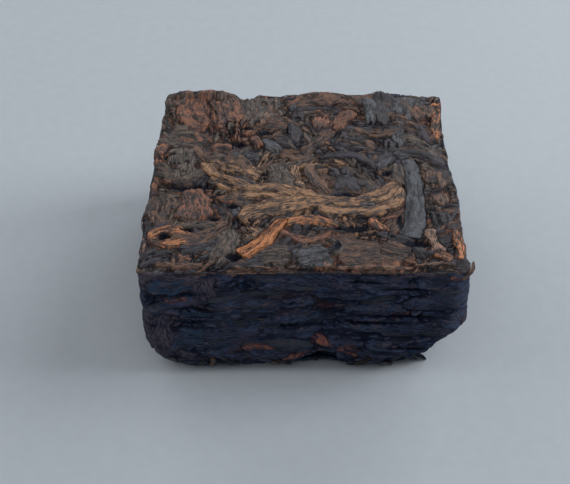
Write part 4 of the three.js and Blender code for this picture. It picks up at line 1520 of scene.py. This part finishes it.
@dataclass(frozen=True)
class LeafFinish:
    """The look of one kind of leaf: fibres along it, mottles, pale flecks, and folds that are lighter on
    their ridges and darker in their valleys, partly wear and partly painted highlight and shade.

    Where the worn pattern is strong the leaf takes its other colour. A toned finish takes the tone that its
    mesh carries in place of its body colour.
    """

    name: str
    body: Colour = (0.06, 0.05, 0.05)
    other: Colour = (0.060, 0.046, 0.048)
    fleck: Colour = (0.30, 0.20, 0.14)
    contrast: float = 1.86
    deep: Colour = (0.018, 0.016, 0.022)
    flecks: float = 0.35
    roughness: float = 0.55
    specular: float = 0.4
    speckle: float = 5.0
    toned: bool = False

    def material(self) -> bpy.types.Material:
        """Builds the material from the grain, the marks and the tone that every piece carries.

        The colour runs from a deep one in the valleys to the body times the contrast on the ridges. How far
        it runs is a weighted sum of the shade, the patterns, the relief and the depth, on a smooth step, so
        that the relief and the depth paint shade into valleys and gaps and light on to ridges. Gaps are
        painted towards a dark blue shade with their depth.

        Returns:
            The material.
        """
        material = bpy.data.materials.new(self.name)
        graph = Graph(material)
        grain = graph.node("ShaderNodeAttribute", attribute_name="grain").outputs["Vector"]
        marks = graph.node("ShaderNodeAttribute", attribute_name="marks").outputs["Vector"]
        shade, relief, depth = graph.node("ShaderNodeSeparateXYZ", {0: marks}).outputs
        body: object = (*self.body, 1.0)
        if self.toned:
            body = graph.node("ShaderNodeAttribute", attribute_name="tone").outputs["Color"]
        fibres, mottle, speckle, spots, worn = (
            pattern.socket(graph, grain) for pattern in (FIBRES, MOTTLE, SPECKLE, SPOTS, WORN)
        )

        patterns = ((fibres, FIBRE_WEIGHT), (mottle, MOTTLE_WEIGHT), (speckle, self.speckle))
        others = ((shade, SHADE_WEIGHT), (relief, RELIEF_WEIGHT), (depth, DEPTH_WEIGHT))
        run: object = TONE_START - sum(weight for _, weight in patterns) / 2
        for value, weight in (*patterns, *others):
            run = graph.math("MULTIPLY_ADD", value, weight, run)
        run = graph.spread(run, (-0.65, 1.75), (0.06, 1.32), "SMOOTHSTEP")
        colour = graph.mix(graph.spread(worn, (0.50, 0.60), (0.0, 0.8)), body, (*self.other, 1.0))
        raised = graph.node("ShaderNodeVectorMath", {0: colour, "Scale": self.contrast}, operation="SCALE")
        colour = graph.mix(graph.math("POWER", run, TONE_POWER), (*self.deep, 1.0), raised.outputs[0])
        # Painted shade: gaps, cracks and holes go towards a dark blue with their depth mark.
        colour = graph.mix(graph.spread(depth, (0.28, 0.66), (0.0, 0.92)), colour, (*PAINTED_GAP_SHADE, 1.0))
        colour = graph.mix(graph.spread(spots, (0.60, 0.68), (0.0, self.flecks)), colour, (*self.fleck, 1.0))

        height = graph.math("MULTIPLY_ADD", spots, 0.5, fibres)
        bump = graph.node("ShaderNodeBump", {"Strength": 1.0, "Distance": BUMP_DEPTH * MM, "Height": height})
        rough = graph.math("MULTIPLY_ADD", fibres, 0.24, self.roughness - 0.12)
        shader = graph.node(
            "ShaderNodeBsdfPrincipled",
            {
                "Base Color": colour,
                "Roughness": rough,
                "Specular IOR Level": self.specular,
                "Normal": bump.outputs[0],
            },
        )
        graph.node("ShaderNodeOutputMaterial", {0: shader.outputs[0]})
        return material


# Dark blue of the painted shade in gaps, cracks and holes.
PAINTED_GAP_SHADE = (0.003, 0.009, 0.032)
FINISHES = {
    Kind.INK: LeafFinish(
        "ink_leaf", (0.052, 0.045, 0.060), fleck=(0.20, 0.15, 0.15), flecks=0.3, roughness=0.50
    ),
    Kind.UMBER: LeafFinish("umber_leaf", (0.185, 0.096, 0.062)),
    Kind.TAN: LeafFinish("tan_flake", (0.320, 0.180, 0.125), (0.140, 0.082, 0.066), (0.58, 0.42, 0.33)),
    Kind.AMBER: LeafFinish(
        "amber_stem", (0.560, 0.215, 0.085), (0.360, 0.140, 0.065), (0.70, 0.38, 0.16), 2.15,
        (0.08, 0.028, 0.014),
    ),
    # The blue-grey of the ash stalk is partly its own grey and partly a painted cool sheen.
    Kind.ASH: LeafFinish(
        "ash_stalk", (0.105, 0.110, 0.128), (0.038, 0.040, 0.052), (0.26, 0.25, 0.26), 1.6,
        (0.030, 0.032, 0.040), flecks=0.25, speckle=3.2,
    ),
    # The blue of the coal leaves is painted cool shade and sky reflection over a brown-black leaf.
    Kind.COAL: LeafFinish(
        "coal_leaf", (0.024, 0.031, 0.052), (0.044, 0.036, 0.044), (0.12, 0.12, 0.14), 2.4,
        (0.003, 0.010, 0.030), flecks=0.3,
    ),
}
MASS_FINISH = LeafFinish("pressed_mass", toned=True)
# The deep blue of the pressed sides' valleys paints their cool shade and sky reflection.
SIDE_MASS_FINISH = LeafFinish(
    "pressed_side", other=(0.054, 0.043, 0.058), fleck=(0.15, 0.14, 0.17), contrast=2.9,
    deep=(0.001, 0.015, 0.056), flecks=0.5, roughness=0.60, specular=0.25, speckle=6.0, toned=True,
)
TOP_TONES = {
    Kind.INK: (0.052, 0.045, 0.060),
    Kind.UMBER: (0.185, 0.096, 0.062),
    Kind.RUST: (0.270, 0.108, 0.058),
    Kind.OLIVE: (0.155, 0.110, 0.085),
    Kind.GOLD: (0.400, 0.212, 0.110),
    Kind.AMBER: (0.560, 0.215, 0.085),
    # Partly the ash's own grey and partly a painted cool sheen.
    Kind.ASH: (0.105, 0.110, 0.128),
    Kind.TAN: (0.320, 0.180, 0.125),
}
# The blue in these side tones is painted cool shade and sky reflection; the warmth below takes part of it out
# on the sides other than the front.
SIDE_TONES = {
    Kind.COAL: (0.026, 0.036, 0.073),
    Kind.INK: (0.014, 0.033, 0.068),
    Kind.UMBER: (0.058, 0.042, 0.056),
    Kind.RUST: (0.190, 0.068, 0.046),
}
SIDE_WARMTH = (1.08, 1.0, 0.76)


# Place and side of each soft light in millimetres, and its power in watts.
LAMPS = {
    "window_low": ((360, 40, 120), 200, 0.67),
    "window_high": ((290, 10, 250), 240, 0.40),
    "behind_right": ((220, 340, 120), 240, 0.63),
    "behind_left": ((-220, 330, 180), 300, 0.42),
    "left": ((-350, 0, 200), 300, 0.31),
    "front": ((0, -200, 360), 400, 0.46),
}


@dataclass(frozen=True)
class Studio:
    """The camera at the photograph's angle, soft cool light and a plain pale floor."""

    azimuth: float = -1.02
    elevation: float = 39.34
    roll: float = -0.65
    lens: float = 71.85
    camera_at: Triple = (-0.17, -78.27, 68.13)
    floor_side: float = 3000.0
    floor_colour: Colour = (0.56, 0.60, 0.645)
    world_colour: Colour = (0.80, 0.90, 1.0)
    world_strength: float = 0.05

    def camera(self) -> None:
        """Turns a camera by the view's azimuth and elevation, then by its roll."""
        azimuth, elevation, roll = (math.radians(a) for a in (self.azimuth, self.elevation, self.roll))
        flat = math.cos(elevation)
        ahead = Vector((math.sin(azimuth) * flat, math.cos(azimuth) * flat, -math.sin(elevation)))
        level = Vector((math.cos(azimuth), -math.sin(azimuth), 0))
        upright = level.cross(ahead)
        right = math.cos(roll) * level + math.sin(roll) * upright
        up = -math.sin(roll) * level + math.cos(roll) * upright
        data = bpy.data.cameras.new("camera")
        data.lens = self.lens
        data.clip_start = 0.005
        data.clip_end = 10.0
        camera = bpy.data.objects.new("camera", data)
        turned = Matrix((right, up, -ahead)).transposed().to_4x4()
        camera.matrix_world = Matrix.Translation(Vector(self.camera_at) * MM) @ turned
        bpy.context.scene.collection.objects.link(camera)
        bpy.context.scene.camera = camera

    def lamp(self, name: str, at: Triple, size: float, power: float, colour: Colour) -> None:
        """Hangs a square area light that looks at the middle of the brick. Its place is in millimetres."""
        data = bpy.data.lights.new(name, "AREA")
        data.size = size * MM
        data.energy = power
        data.color = colour
        lamp = bpy.data.objects.new(name, data)
        lamp.location = Vector(at) * MM
        aim = Vector((0, 0, 6)) * MM - lamp.location
        lamp.rotation_euler = aim.to_track_quat("-Z", "Y").to_euler()
        bpy.context.scene.collection.objects.link(lamp)

    def floor(self) -> None:
        """Lays a pale floor with a faint, broad unevenness of tone."""
        half = self.floor_side / 2
        corners = np.array([(-half, -half, 0), (half, -half, 0), (half, half, 0), (-half, half, 0)])
        mesh = mesh_from_arrays("floor", corners, np.array([[0, 1, 2, 3]]), np.zeros((0, 3), int))
        material = bpy.data.materials.new("pale_floor")
        graph = Graph(material)
        place = graph.node("ShaderNodeTexCoord").outputs["Object"]
        grain = graph.node("ShaderNodeTexNoise", {"Vector": place, "Scale": 900.0, "Detail": 3.0}).outputs[0]
        light = tuple(1.02 * c for c in self.floor_colour)
        dark = tuple(0.98 * c for c in self.floor_colour)
        colour = graph.ramp(grain, [(0.3, dark), (0.7, light)])
        shader = graph.node("ShaderNodeBsdfPrincipled", {"Base Color": colour, "Roughness": 0.75})
        graph.node("ShaderNodeOutputMaterial", {0: shader.outputs[0]})
        mesh.materials.append(material)
        floor = bpy.data.objects.new("floor", mesh)
        bpy.context.scene.collection.objects.link(floor)

    def world(self) -> None:
        """Sets an even, cool sky."""
        world = bpy.data.worlds.new("sky")
        world.use_nodes = True
        background = world.node_tree.nodes["Background"]
        background.inputs[0].default_value = (*self.world_colour, 1.0)
        background.inputs[1].default_value = self.world_strength
        bpy.context.scene.world = world

    def make(self) -> None:
        """Sets up the whole studio."""
        self.camera()
        self.floor()
        self.world()
        for name, (at, size, power) in LAMPS.items():
            self.lamp(name, at, size, power, (0.95, 0.98, 1.0))
        bpy.context.scene.view_settings.view_transform = "Standard"


def main() -> None:
    """Builds the brick in order: studio, top, sides and underside."""
    logging.basicConfig(level=logging.INFO, format="%(name)s: %(message)s", stream=sys.stdout)
    mould = Mould()
    Studio().make()

    top = LeafBed("top", TopChart(mould), 5, TOP_TONES)
    leaves = top_leaves()
    top.lay_all([leaf for leaf in leaves if leaf.form in LAID_FORMS])
    top.press(TOP_PRESSED)
    top.press_all([leaf for leaf in leaves if leaf.form not in LAID_FORMS])
    top.chart.settle(groove=0.20, cracked=0.26, stretch=(0.6, 0.6, 0.6), holes=TOP_HOLES)
    top.make(MASS_FINISH.material())

    sides = LeafBed("side", SideChart(mould), 17, SIDE_TONES)
    sides.lay_all(corner_flakes())
    sides.edge(RIM)
    sides.edge(FOOT)
    sides.fill(SIDE_FILLINGS)
    sides.press(SIDE_PRESSED)
    sides.press_all(front_leaves(mould))
    sides.chart.settle(groove=0.30, cracked=0.28, stretch=(0.35, 0.35, 0.9), holes=SIDE_HOLES)
    sides.chart.warm(SIDE_WARMTH, blend=4.0)
    side_mass = SIDE_MASS_FINISH.material()
    sides.make(side_mass)

    under = LeafBed("under", UnderChart(mould), 29, SIDE_TONES)
    under.press(UNDER_PRESSED)
    under.chart.settle(groove=0.20, cracked=0.30, stretch=(0.4, 0.4, 0.4))
    under.make(side_mass)


if __name__ == "__main__":
    main()
